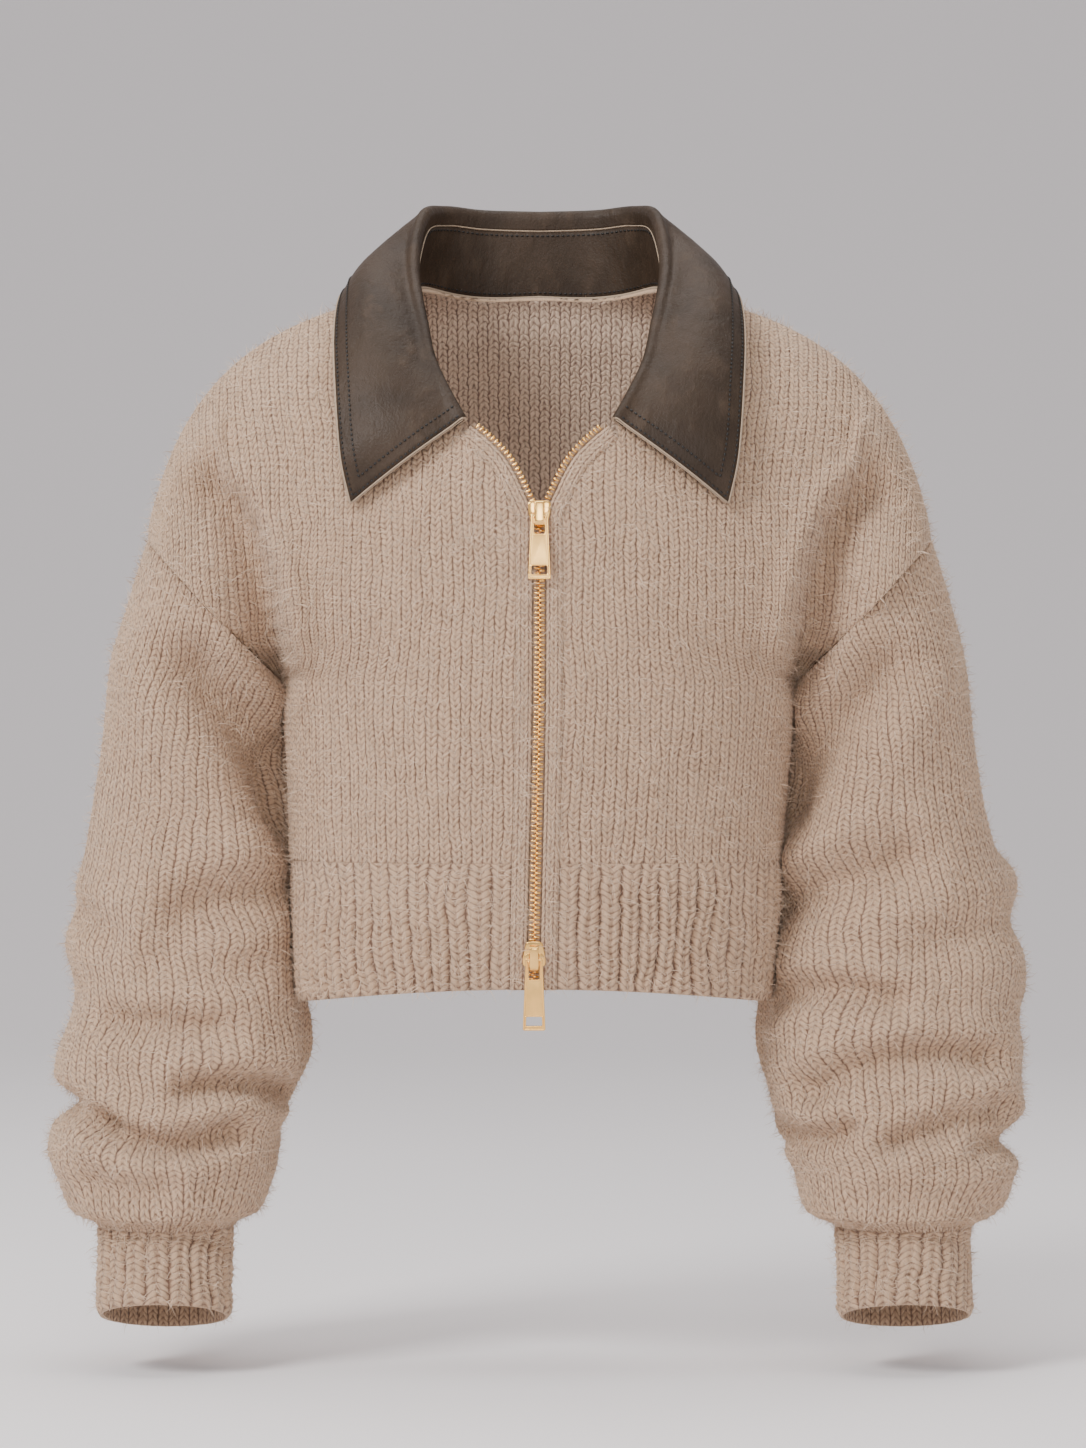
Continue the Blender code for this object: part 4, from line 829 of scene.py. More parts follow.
def grid_faces(grid, uv, cut, flip):
    """Points, faces and each corner's uv, with points that coincide made one."""
    rows, columns = grid.shape[:2]
    flat = grid.reshape(-1, 3)
    index = np.arange(rows * columns).reshape(rows, columns)
    cells = np.stack([index[:-1, :-1], index[:-1, 1:], index[1:, 1:], index[1:, :-1]], axis=-1).reshape(-1, 4)
    cells = cells[~cut.reshape(-1)[cells].all(axis=1)]
    _, first, merged = np.unique(np.round(flat, 3), axis=0, return_index=True, return_inverse=True)
    merged = merged.reshape(-1)
    faces, corners = [], []
    uv = uv.reshape(-1, 2)
    for cell, welded in zip(cells.tolist(), merged[cells].tolist()):
        kept = [k for k in range(4) if welded[k] != welded[k - 1]]
        if len(kept) < 3 or len({welded[k] for k in kept}) != len(kept):
            continue
        kept = kept[::-1] if flip else kept
        faces.append([welded[k] for k in kept])
        corners.append([cell[k] for k in kept])
    return flat[first], faces, [uv[c] for face in corners for c in face]


def free_rings(faces):
    """Rings of the edges that only one face has, in the faces' own direction."""
    edges = {edge for face in faces for edge in zip(face, face[1:] + face[:1])}
    after = {}
    for a, b in edges:
        if (b, a) not in edges:
            after.setdefault(a, []).append(b)
    rings = []
    while after:
        start = next(iter(after))
        ring, at = [], start
        while at in after:
            ring.append(at)
            nexts = after[at]
            step = nexts.pop()
            if not nexts:
                del after[at]
            at = step
        if len(ring) > 2:
            rings.append(ring)
    return rings


def bridged(ring, other, place):
    """Triangles between two rings that run the same way, side by side."""
    a, b = np.array(ring), np.array(other)
    shift = int(np.argmin(np.linalg.norm(place[b] - place[a[0]], axis=1)))
    b = np.roll(b, -shift)
    a, b = [*a.tolist(), int(a[0])], [*b.tolist(), int(b[0])]
    faces, i, j = [], 0, 0
    while i < len(a) - 1 or j < len(b) - 1:
        step_a = np.linalg.norm(place[a[i + 1]] - place[b[j]]) if i < len(a) - 1 else np.inf
        step_b = np.linalg.norm(place[b[j + 1]] - place[a[i]]) if j < len(b) - 1 else np.inf
        if step_a <= step_b:
            faces.append([a[i + 1], a[i], b[j]])
            i += 1
        else:
            faces.append([a[i], b[j], b[j + 1]])
            j += 1
    return faces


def facing(grid, inner):
    """Whether a grid's own cells face away from the wall's inner face."""
    middle = (grid.shape[0] // 2, grid.shape[1] // 4)
    a, b, c = grid[middle], grid[middle[0], middle[1] + 1], grid[middle[0] + 1, middle[1]]
    spot = inner[inner.shape[0] // 2, inner.shape[1] // 4]
    return np.dot(np.cross(b - a, c - a), a - spot) > 0


def cloth(name, outer, inner, finish, inner_finish=None, edge_uv=(0.25, 0.25)):
    """A closed wall of cloth from its stitched outer face and its plain inner face."""
    flip = not facing(outer[0], inner[0])
    place, faces, uv = grid_faces(*outer, flip)
    inside, inner_faces, inner_uv = grid_faces(*inner, not flip)
    count = len(place)
    inner_faces = [[c + count for c in face] for face in inner_faces]
    together = np.concatenate([place, inside])
    rings, others = free_rings(faces), free_rings(inner_faces)
    joins = []
    for ring in rings:
        centre = together[ring].mean(axis=0)
        other = min(others, key=lambda r: np.linalg.norm(together[r].mean(axis=0) - centre))
        joins += bridged(ring, other[::-1], together)
    corner_uv = [*uv, *inner_uv, *[edge_uv] * (3 * len(joins))]
    obj = new_mesh(name, together, faces + inner_faces + joins, finish, corner_uv)
    if inner_finish is not None:
        obj.data.materials.append(inner_finish)
        side = np.zeros(len(obj.data.polygons), np.int32)
        side[len(faces) : len(faces) + len(inner_faces)] = 1
        obj.data.polygons.foreach_set("material_index", side)
    nap = obj.data.attributes.new("nap", "FLOAT", "POINT")
    behind = np.array([v.normal.y > 0.3 for v in obj.data.vertices[:count]])
    nap.data.foreach_set("value", np.concatenate([np.where(behind, 0.45, 1.0), np.zeros(len(inside))]))
    return obj


def new_mesh(name, place, faces, finish, corner_uv=None, smooth=True):
    mesh = bpy.data.meshes.new(name)
    mesh.from_pydata((np.asarray(place) * MM).tolist(), [], faces)
    if corner_uv is not None:
        layer = mesh.uv_layers.new(name="stitches")
        layer.data.foreach_set("uv", np.asarray(corner_uv, np.float32).reshape(-1))
    mesh.materials.append(finish)
    if smooth:
        mesh.polygons.foreach_set("use_smooth", [True] * len(mesh.polygons))
    obj = bpy.data.objects.new(name, mesh)
    bpy.context.scene.collection.objects.link(obj)
    mesh.update()
    return obj


def square(grid):
    """A plain face of a strip or leaf as a grid that nothing cuts, its uv in millimetres."""
    across = np.concatenate([[0], np.linalg.norm(np.diff(grid[len(grid) // 2], axis=0), axis=1).cumsum()])
    down = np.concatenate([[0], np.linalg.norm(np.diff(grid[:, grid.shape[1] // 2], axis=0), axis=1).cumsum()])
    u, v = np.meshgrid(across, down)
    return grid, np.stack([u, v], axis=-1), np.zeros(u.shape, bool)


# ---------------------------------------------------------------- materials


def add(tree, kind, links=(), **settings):
    """A node with its settings; links pairs an input's name or number with a value or another node's socket."""
    node = tree.nodes.new(kind)
    for name, value in settings.items():
        setattr(node, name, value)
    for socket, value in dict(links).items():
        target = node.inputs[socket]
        if isinstance(value, bpy.types.NodeSocket):
            tree.links.new(value, target)
        else:
            target.default_value = value
    return node


def maths(tree, operation, *values):
    return add(tree, "ShaderNodeMath", dict(enumerate(values)), operation=operation).outputs[0]


def new_finish(name):
    """An empty material with its surface shader and output."""
    material = bpy.data.materials.new(name)
    material.use_nodes = True
    tree = material.node_tree
    tree.nodes.clear()
    shader = tree.nodes.new("ShaderNodeBsdfPrincipled")
    output = tree.nodes.new("ShaderNodeOutputMaterial")
    tree.links.new(shader.outputs[0], output.inputs[0])
    return material, tree, shader


def object_noise(tree, size_mm, detail=2.0, stretch=(1, 1, 1), rough=0.5):
    """Noise whose features are about size_mm across on the real piece."""
    place = add(tree, "ShaderNodeTexCoord").outputs["Object"]
    mapped = add(tree, "ShaderNodeMapping", {"Vector": place, "Scale": stretch}).outputs[0]
    return add(
        tree, "ShaderNodeTexNoise",
        {"Vector": mapped, "Scale": 1000 / size_mm, "Detail": detail, "Roughness": rough},
    ).outputs["Fac"]


def mixed(tree, share, low, high):
    node = tree.nodes.new("ShaderNodeMix")
    node.data_type = "RGBA"
    for socket, value in ((node.inputs["Factor"], share), (node.inputs["A"], low), (node.inputs["B"], high)):
        if isinstance(value, bpy.types.NodeSocket):
            tree.links.new(value, socket)
        else:
            socket.default_value = (*value, 1) if hasattr(value, "__len__") and len(value) == 3 else value
    return node.outputs["Result"]


def spread(tree, value, low, high):
    """A value stretched from low..high to 0..1."""
    return add(
        tree, "ShaderNodeMapRange", {"Value": value, "From Min": low, "From Max": high}, interpolation_type="SMOOTHSTEP"
    ).outputs[0]


def roughened(tree, shader, height, distance_mm, strength=1.0, under=None):
    links = {"Height": height, "Strength": strength, "Distance": distance_mm * MM}
    if under is not None:
        links["Normal"] = under
    bump = add(tree, "ShaderNodeBump", links).outputs[0]
    tree.links.new(bump, shader.inputs["Normal"])
    return bump


def stitch_height(tree, slant, wander=1.0):
    """0 between the stitches and 1 on the crest of a leg, from a uv that counts wales and courses."""
    uv = add(tree, "ShaderNodeUVMap", uv_map="stitches").outputs[0]
    sway = add(
        tree, "ShaderNodeTexNoise", {"Vector": uv, "Scale": 0.9, "Detail": 2.0}
    ).outputs["Color"]
    moved = add(
        tree, "ShaderNodeVectorMath", {0: sway, 1: (0.5, 0.5, 0.5)}, operation="SUBTRACT"
    ).outputs[0]
    reach = (0.26 * wander, 0.6 * wander, 0)
    moved = add(tree, "ShaderNodeVectorMath", {0: moved, 1: reach}, operation="MULTIPLY").outputs[0]
    moved = add(tree, "ShaderNodeVectorMath", {0: uv, 1: moved}, operation="ADD").outputs[0]
    parts = add(tree, "ShaderNodeSeparateXYZ", {0: moved})
    from_middle = maths(tree, "ABSOLUTE", maths(tree, "SUBTRACT", maths(tree, "FRACT", parts.outputs[0]), 0.5))
    leg = maths(tree, "SINE", maths(tree, "MULTIPLY", from_middle, 2 * math.pi))
    leg = maths(tree, "MAXIMUM", leg, maths(tree, "MULTIPLY_ADD", from_middle, -1.6, 0.5))
    rise = maths(tree, "MULTIPLY_ADD", from_middle, -4 * slant, slant)
    phase = maths(tree, "FRACT", maths(tree, "ADD", parts.outputs[1], rise))
    crest = maths(tree, "SINE", maths(tree, "MULTIPLY", phase, math.pi))
    crest = maths(tree, "MULTIPLY_ADD", maths(tree, "POWER", crest, 0.6), 0.62, 0.38)
    return maths(tree, "MULTIPLY", maths(tree, "POWER", maths(tree, "MAXIMUM", leg, 0.0001), 0.55), crest)


def brushed_stockinette(name, knit, slant=LEG_SLANT, tint_and_painted_light=(1, 1, 1), wander=1.0):
    """Mohair and wool knit, brushed after knitting: matt, with a soft sheen from its lying fibres, painted shade
    between the stitches and painted shade in random patches of pits.
    """
    material, tree, shader = new_finish(name)
    stitch = stitch_height(tree, slant, wander)
    fibre = object_noise(tree, 1.1, 4.0, (1, 1, 0.35), 0.65)
    patch = object_noise(tree, 28, 3.0)
    cover = maths(tree, "MULTIPLY_ADD", patch, 0.5, 0.0)
    depth = maths(tree, "ADD", maths(tree, "MULTIPLY", stitch, 0.85), maths(tree, "MULTIPLY", fibre, 0.45))
    depth = maths(tree, "ADD", depth, maths(tree, "MULTIPLY", cover, 0.35))
    share = spread(tree, depth, 0.48, 1.02)
    # The colours are scaled by a tint, which for the reverse side also holds painted light.
    yarn = [min(1, c * k) for c, k in zip(knit.yarn, tint_and_painted_light)]
    # Low stitch height mixes the yarn towards the groove colour, as painted shade between the stitches.
    painted_groove_shade = [c * k for c, k in zip(knit.painted_groove_shade, tint_and_painted_light)]
    colour = mixed(tree, share, painted_groove_shade, yarn)
    warm = mixed(tree, object_noise(tree, 6, 2.0), [c * 0.78 for c in yarn], [min(1, c * 1.12) for c in yarn])
    colour = mixed(tree, 0.6, colour, mixed(tree, share, painted_groove_shade, warm))
    # Random patches darkened towards 62% of the yarn: painted shade of the stitches' pits.
    painted_pit_shade = spread(tree, object_noise(tree, 4.5, 3.0, (1, 1, 0.7), 0.7), 0.5, 0.78)
    colour = mixed(tree, maths(tree, "MULTIPLY", painted_pit_shade, 0.55), colour, [c * 0.62 for c in yarn])
    tree.links.new(colour, shader.inputs["Base Color"])
    shader.inputs["Roughness"].default_value = 0.95
    shader.inputs["Specular IOR Level"].default_value = 0.12
    shader.inputs["Sheen Weight"].default_value = 0.35
    shader.inputs["Sheen Roughness"].default_value = 0.55
    shader.inputs["Sheen Tint"].default_value = (*from_hex("F0E2D4"), 1)
    under = roughened(tree, shader, stitch, 1.6, 0.7)
    roughened(tree, shader, fibre, 0.8, 0.9, under)
    return material


def brushed_fibre(name, knit):
    """The raised ends of mohair fibres: thin, pale and a little glossy, so they read as a halo."""
    material, tree, shader = new_finish(name)
    tone = object_noise(tree, 9, 1.0)
    nap = list(knit.nap)
    colour = mixed(tree, spread(tree, tone, 0.3, 0.7), [c * 0.72 for c in nap], nap)
    tree.links.new(colour, shader.inputs["Base Color"])
    shader.inputs["Roughness"].default_value = 0.75
    shader.inputs["Specular IOR Level"].default_value = 0.25
    shader.inputs["Sheen Weight"].default_value = 0.3
    return material


def soft_nappa(name, leather):
    """Drum-dyed lambskin nappa: soft low gloss over a fine pebble, with creases where it rolls and painted highlight
    along their ridges.
    """
    material, tree, shader = new_finish(name)
    grain = add(
        tree, "ShaderNodeTexVoronoi",
        {"Vector": add(tree, "ShaderNodeTexCoord").outputs["Object"], "Scale": 1000 / 1.5, "Randomness": 1.0},
    ).outputs["Distance"]
    crease = object_noise(tree, 16, 5.0, (1, 1, 0.5), 0.6)
    patch = object_noise(tree, 45, 3.0)
    hide = list(leather.hide)
    colour = mixed(tree, spread(tree, patch, 0.3, 0.7), [c * 0.75 for c in hide], [c * 1.25 for c in hide])
    # Lighter along the ridges of the creases: painted highlight.
    colour = mixed(tree, maths(tree, "MULTIPLY", spread(tree, crease, 0.5, 0.72), 0.5), colour, [c * 1.9 for c in hide])
    colour = mixed(tree, maths(tree, "MULTIPLY", spread(tree, grain, 0.1, 0.6), 0.22), colour, [c * 0.6 for c in hide])
    tree.links.new(colour, shader.inputs["Base Color"])
    rough = maths(tree, "MULTIPLY_ADD", crease, 0.22, 0.36)
    tree.links.new(rough, shader.inputs["Roughness"])
    shader.inputs["Specular IOR Level"].default_value = 0.18
    under = roughened(tree, shader, maths(tree, "SUBTRACT", 1.0, grain), 0.25, 0.6)
    lines = object_noise(tree, 3.5, 4.0, (1, 1, 0.3), 0.7)
    under = roughened(tree, shader, lines, 0.7, 0.6, under)
    roughened(tree, shader, crease, 3.4, 0.6, under)
    return material


def cut_hide_edge(name, leather):
    """The cut edge of the hide, undyed and suede-like: pale, matt and slightly uneven."""
    material, tree, shader = new_finish(name)
    edge = list(leather.raw_edge)
    colour = mixed(tree, object_noise(tree, 3, 3.0), [c * 0.7 for c in edge], [min(1, c * 1.2) for c in edge])
    tree.links.new(colour, shader.inputs["Base Color"])
    shader.inputs["Roughness"].default_value = 0.85
    roughened(tree, shader, object_noise(tree, 0.8, 2.0), 0.3, 0.5)
    return material


def polyester_thread(name, leather):
    """Bonded polyester sewing thread, twisted and waxed: dark with a slight gloss."""
    material, tree, shader = new_finish(name)
    thread = list(leather.thread)
    colour = mixed(tree, object_noise(tree, 1.2, 2.0), [c * 0.7 for c in thread], [min(1, c * 1.5) for c in thread])
    tree.links.new(colour, shader.inputs["Base Color"])
    shader.inputs["Roughness"].default_value = 0.5
    return material


def herringbone_tape(name, zips):
    """Woven polyester zip tape: matt, with a fine herringbone of threads 0.7 mm apart, drawn at 1.2 mm to show."""
    material, tree, shader = new_finish(name)
    place = add(tree, "ShaderNodeTexCoord").outputs["Object"]
    weave = add(
        tree, "ShaderNodeTexWave",
        {"Vector": place, "Scale": 1000 / 1.2 / 20, "Distortion": 1.5, "Detail": 2.0}, bands_direction="Z",
    ).outputs["Fac"]
    # The tape colour holds painted shade: it is darker than the woven tape.
    tape = list(zips.tape)
    tree.links.new(mixed(tree, weave, [c * 0.75 for c in tape], tape), shader.inputs["Base Color"])
    shader.inputs["Roughness"].default_value = 0.85
    roughened(tree, shader, weave, 0.25, 0.5)
    return material


def pale_gold_plate(name, zips, rough, brushed_mm=0.0):
    """Zinc die-casting under pale gold plate: warm bright metal, polished or satin where it was brushed."""
    material, tree, shader = new_finish(name)
    metal = list(zips.metal)
    wear = object_noise(tree, 5, 4.0)
    colour = mixed(tree, spread(tree, wear, 0.35, 0.7), [c * 0.92 for c in metal], metal)
    tree.links.new(colour, shader.inputs["Base Color"])
    shader.inputs["Metallic"].default_value = 1.0
    tree.links.new(maths(tree, "MULTIPLY_ADD", wear, 0.16, rough - 0.08), shader.inputs["Roughness"])
    if brushed_mm:
        roughened(tree, shader, object_noise(tree, brushed_mm, 2.0, (0.12, 1, 1)), 0.05, 0.4)
    else:
        roughened(tree, shader, object_noise(tree, 2.5, 2.0), 0.05, 0.3)
    return material


def seamless_paper(name, stage):
    """Seamless studio paper: flat, matt and very slightly mottled."""
    material, tree, shader = new_finish(name)
    paper = list(stage.paper)
    colour = mixed(tree, object_noise(tree, 400, 2.0), [c * 0.99 for c in paper], paper)
    tree.links.new(colour, shader.inputs["Base Color"])
    shader.inputs["Roughness"].default_value = 0.9
    shader.inputs["Specular IOR Level"].default_value = 0.1
    return material


# ---------------------------------------------------------------- repeated small things by geometry nodes


def node_group(name, sizes):
    """A geometry tree with a geometry input and output, and a named input for each size."""
    group = bpy.data.node_groups.new(name, "GeometryNodeTree")
    group.interface.new_socket("Geometry", in_out="INPUT", socket_type="NodeSocketGeometry")
    for label, kind in sizes:
        group.interface.new_socket(label, in_out="INPUT", socket_type=kind)
    group.interface.new_socket("Geometry", in_out="OUTPUT", socket_type="NodeSocketGeometry")
    return group, group.nodes.new("NodeGroupInput"), group.nodes.new("NodeGroupOutput")


def grown(name, carrier, group, values, finish):
    """The tree's result on a carrier object, as a plain mesh object of its own."""
    host = bpy.data.objects.new(name + "_host", carrier)
    bpy.context.scene.collection.objects.link(host)
    modifier = host.modifiers.new(name, "NODES")
    modifier.node_group = group
    for socket in group.interface.items_tree:
        if socket.in_out == "INPUT" and socket.name in values:
            modifier[socket.identifier] = values[socket.name]
    bpy.context.view_layer.update()
    mesh = bpy.data.meshes.new_from_object(host.evaluated_get(bpy.context.evaluated_depsgraph_get()))
    bpy.data.objects.remove(host)
    if not mesh.polygons:
        raise RuntimeError(f"{name} came out empty")
    mesh.name = name
    mesh.materials.clear()
    mesh.materials.append(finish)
    obj = bpy.data.objects.new(name, mesh)
    bpy.context.scene.collection.objects.link(obj)
    return obj


def nap_tree(finish):
    """Curved two-sided fibres scattered over the outside of the cloth, each lying and turned at random."""
    group, given, made = node_group(
        "brushed_nap", (("Density", "NodeSocketFloat"), ("Length", "NodeSocketFloat"), ("Width", "NodeSocketFloat"),
                        ("Seed", "NodeSocketInt")),
    )
    outside = add(group, "GeometryNodeInputNamedAttribute", {"Name": "nap"}, data_type="FLOAT").outputs[0]
    density = maths(group, "MULTIPLY", outside, given.outputs["Density"])
    spots = add(
        group, "GeometryNodeDistributePointsOnFaces",
        {"Mesh": given.outputs["Geometry"], "Density": density, "Seed": given.outputs["Seed"]},
    )
    fibre = add(
        group, "GeometryNodeMeshGrid",
        {"Size X": given.outputs["Width"], "Size Y": given.outputs["Length"], "Vertices X": 2, "Vertices Y": 3},
    )
    place = add(group, "ShaderNodeSeparateXYZ", {0: add(group, "GeometryNodeInputPosition").outputs[0]})
    half = maths(group, "MULTIPLY", given.outputs["Length"], 0.5)
    along = maths(group, "ADD", place.outputs[1], half)
    share = maths(group, "DIVIDE", along, given.outputs["Length"])
    curl = maths(group, "MULTIPLY", maths(group, "MULTIPLY", share, share), maths(group, "MULTIPLY", half, -0.45))
    sideways = maths(group, "MULTIPLY", maths(group, "MULTIPLY", share, share), maths(group, "MULTIPLY", half, 0.6))
    thinner = maths(group, "MULTIPLY_ADD", share, -0.8, 1.0)
    bent = add(
        group, "ShaderNodeCombineXYZ",
        {0: maths(group, "ADD", maths(group, "MULTIPLY", place.outputs[0], thinner), sideways), 1: along, 2: curl},
    )
    fibre = add(
        group, "GeometryNodeSetPosition", {"Geometry": fibre.outputs["Mesh"], "Position": bent.outputs[0]}
    )
    tilt = add(group, "FunctionNodeRandomValue", {"Min": (0.22, 0, -math.pi), "Max": (1.1, 0, math.pi),
                                                  "Seed": given.outputs["Seed"]}, data_type="FLOAT_VECTOR")
    parts = add(group, "ShaderNodeSeparateXYZ", {0: tilt.outputs["Value"]})
    spin = add(group, "FunctionNodeEulerToRotation",
               {0: add(group, "ShaderNodeCombineXYZ", {2: parts.outputs[2]}).outputs[0]})
    raised = add(group, "FunctionNodeEulerToRotation",
                 {0: add(group, "ShaderNodeCombineXYZ", {0: parts.outputs[0]}).outputs[0]})
    turned = add(
        group, "FunctionNodeRotateRotation",
        {"Rotation": spots.outputs["Rotation"], "Rotate By": spin.outputs[0]}, rotation_space="LOCAL",
    )
    turned = add(
        group, "FunctionNodeRotateRotation",
        {"Rotation": turned.outputs[0], "Rotate By": raised.outputs[0]}, rotation_space="LOCAL",
    )
    size = add(group, "FunctionNodeRandomValue", {"Min": 0.45, "Max": 1.25, "Seed": given.outputs["Seed"]})
    size_out = [o for o in size.outputs if o.enabled][0]
    placed = add(
        group, "GeometryNodeInstanceOnPoints",
        {"Points": spots.outputs["Points"], "Instance": fibre.outputs[0], "Rotation": turned.outputs[0],
         "Scale": size_out},
    )
    solid = add(group, "GeometryNodeRealizeInstances", {"Geometry": placed.outputs[0]})
    dressed = add(group, "GeometryNodeSetMaterial", {"Geometry": solid.outputs[0], "Material": finish})
    group.links.new(dressed.outputs[0], made.inputs[0])
    return group


def row_tree(name, finish, shape):
    """A copy of a small shape at each point of a carrier, turned by its turn attribute."""
    group, given, made = node_group(name, (("Size", "NodeSocketVector"),))
    turn = add(group, "GeometryNodeInputNamedAttribute", {"Name": "turn"}, data_type="FLOAT_VECTOR").outputs[0]
    spots = add(group, "GeometryNodeMeshToPoints", {"Mesh": given.outputs["Geometry"]})
    copy = add(group, "GeometryNodeObjectInfo", {"Object": shape})
    placed = add(
        group, "GeometryNodeInstanceOnPoints",
        {"Points": spots.outputs[0], "Instance": copy.outputs["Geometry"], "Rotation": turn,
         "Scale": given.outputs["Size"]},
    )
    solid = add(group, "GeometryNodeRealizeInstances", {"Geometry": placed.outputs[0]})
    dressed = add(group, "GeometryNodeSetMaterial", {"Geometry": solid.outputs[0], "Material": finish})
    group.links.new(dressed.outputs[0], made.inputs[0])
    return group


def carrier(name, place, forward, out):
    """Bare points, each with the turn that lays a shape's Y along forward and its Z along out."""
    mesh = bpy.data.meshes.new(name)
    mesh.from_pydata((np.asarray(place) * MM).tolist(), [], [])
    across = unit(np.cross(forward, out))
    forward = unit(np.cross(out, across))
    turns = []
    for x, y, z in zip(across, forward, out):
        turns.append(Matrix((x, y, z)).transposed().to_euler("XYZ"))
    turn = mesh.attributes.new("turn", "FLOAT_VECTOR", "POINT")
    turn.data.foreach_set("vector", np.array(turns, np.float32).reshape(-1))
    return mesh


# ---------------------------------------------------------------- collar, stitching and zip


def resampled(grid, count):
    """A grid with its rows drawn as a smooth curve through the ones given."""
    knots = np.arange(len(grid), dtype=float)
    at = np.linspace(0, len(grid) - 1, count)
    slopes = np.gradient(grid, axis=0)
    i = np.clip(at.astype(int), 0, len(grid) - 2)
    t = (at - knots[i])[:, None, None]
    return (
        (2 * t**3 - 3 * t**2 + 1) * grid[i]
        + (t**3 - 2 * t**2 + t) * slopes[i]
        + (3 * t**2 - 2 * t**3) * grid[i + 1]
        + (t**3 - t**2) * slopes[i + 1]
    )


def tree_of(objects):
    vertices, faces = [], []
    for obj in objects:
        faces += [[i + len(vertices) for i in face.vertices] for face in obj.data.polygons]
        vertices += [v.co / MM for v in obj.data.vertices]
    return BVHTree.FromPolygons(vertices, faces)


def kept_clear(outer, inner, tree, clear, first_row):
    """Both faces moved smoothly out of the cloth below, from the row where the leaf has turned down."""
    away = unit(outer - inner)
    need = np.zeros(outer.shape[:-1])
    reach = 12.0
    for place in np.ndindex(need.shape):
        if place[0] >= first_row:
            start = Vector(inner[place] + reach * away[place])
            hit, normal, _, distance = tree.ray_cast(start, Vector(-away[place]), reach + clear)
            if hit is not None and normal.dot(Vector(away[place])) > 0:
                need[place] = reach + clear - distance
    padded = np.pad(need, 2, mode="edge")
    wide = np.max([padded[a : a + need.shape[0], b : b + need.shape[1]] for a in range(5) for b in range(5)], axis=0)
    for _ in range(10):
        soft = np.pad(wide, 1, mode="edge")
        wide = (soft[:-2, 1:-1] + soft[2:, 1:-1] + soft[1:-1, :-2] + soft[1:-1, 2:] + 4 * soft[1:-1, 1:-1]) / 8
    lift = np.maximum(wide, 0)[..., None] * away
    return outer + lift, inner + lift


COLLAR_STATIONS = 73


def collar_grids():
    """Fine grids of the stand's and the leaf's two faces, from the right front end to the left one."""
    shares = np.linspace(0, 1, COLLAR_STATIONS)
    sides = {side: stand_and_leaf(shares, side) for side in (LEFT, RIGHT)}
    grids = []
    for k in range(4):
        whole = np.concatenate([sides[RIGHT][k][:, :0:-1], sides[LEFT][k]], axis=1)
        fine = resampled(whole, 12 if k < 2 else 56)
        for _ in range(0 if k < 2 else 14):
            fine[6:34] = (fine[5:33] + 2 * fine[6:34] + fine[7:35]) / 4
        grids.append(fine)
    tree = tree_of([frame["nodes"][n] for n in KNIT_UNDER_COLLAR])
    return grids[:2], kept_clear(grids[2], grids[3], tree, LEAF_CLEAR + 0.6, 20)


KNIT_UNDER_COLLAR = ("back", "front_left", "front_right", "front_band_left", "front_band_right")


def leather_wall(name, outer, inner, finish, edge_finish):
    obj = cloth(name, square(outer), square(inner), finish)
    obj.data.materials.append(edge_finish)
    inside = 2 * (outer.shape[0] - 1) * (outer.shape[1] - 1)
    for face in obj.data.polygons[inside:]:
        face.material_index = 1
        face.use_smooth = False
    return obj


def cord(name, path, side_way, up_way, wide, high, finish):
    """A closed cord of rounded section along a path, with its own directions across and up."""
    angle = np.linspace(0, 2 * np.pi, 8, endpoint=False)
    rings = (
        path[:, None]
        + (wide * np.cos(angle))[None, :, None] * side_way[:, None]
        + (high * np.sin(angle))[None, :, None] * up_way[:, None]
    )
    count = len(path)
    faces = [[r * 8 + k, r * 8 + (k + 1) % 8, (r + 1) * 8 + (k + 1) % 8, (r + 1) * 8 + k]
             for r in range(count - 1) for k in range(8)]
    faces += [list(range(8))[::-1], [(count - 1) * 8 + k for k in range(8)]]
    obj = new_mesh(name, rings.reshape(-1, 3), faces, finish)
    shape = bmesh.new()
    shape.from_mesh(obj.data)
    bmesh.ops.recalc_face_normals(shape, faces=shape.faces)
    shape.to_mesh(obj.data)
    shape.free()
    return obj


def hem_of(grid, other):
    """Places round a leaf's front edges and lower edge, with the ways out of the edge and off the face."""
    first = 14
    rows, columns = grid.shape[:2]
    r = np.concatenate([np.arange(first, rows), np.full(columns - 2, rows - 1), np.arange(first, rows)[::-1]])
    c = np.concatenate([np.zeros(rows - first), np.arange(1, columns - 1), np.full(rows - first, columns - 1)])
    r, c = r.astype(int), c.astype(int)
    step_r = np.where(r == 0, 1, r - 1)
    inward_c = np.clip(c + np.sign(columns / 2 - c).astype(int) * (r < rows - 1), 0, columns - 1)
    inward_r = np.where(r == rows - 1, step_r, r)
    out = unit(grid[r, c] - grid[inward_r, inward_c])
    corner = (r == rows - 1) & ((c == 0) | (c == columns - 1))
    off = unit(grid[r, c] - other[r, c])
    ahead = unit(np.gradient(grid[r, c], axis=0))
    way = unit(np.cross(ahead, off))
    way = way * np.sign((way * out).sum(-1, keepdims=True))
    way[corner] = unit(way[corner] + out[corner])
    return grid[r, c], way, off


def read_grid(grid, row, column):
    i = np.clip(np.floor(column).astype(int), 0, grid.shape[1] - 2)
    j = np.clip(np.floor(row).astype(int), 0, grid.shape[0] - 2)
    s, t = (column - i)[..., None], (row - j)[..., None]
    low = grid[j, i] * (1 - s) + grid[j, i + 1] * s
    return low * (1 - t) + (grid[j + 1, i] * (1 - s) + grid[j + 1, i + 1] * s) * t


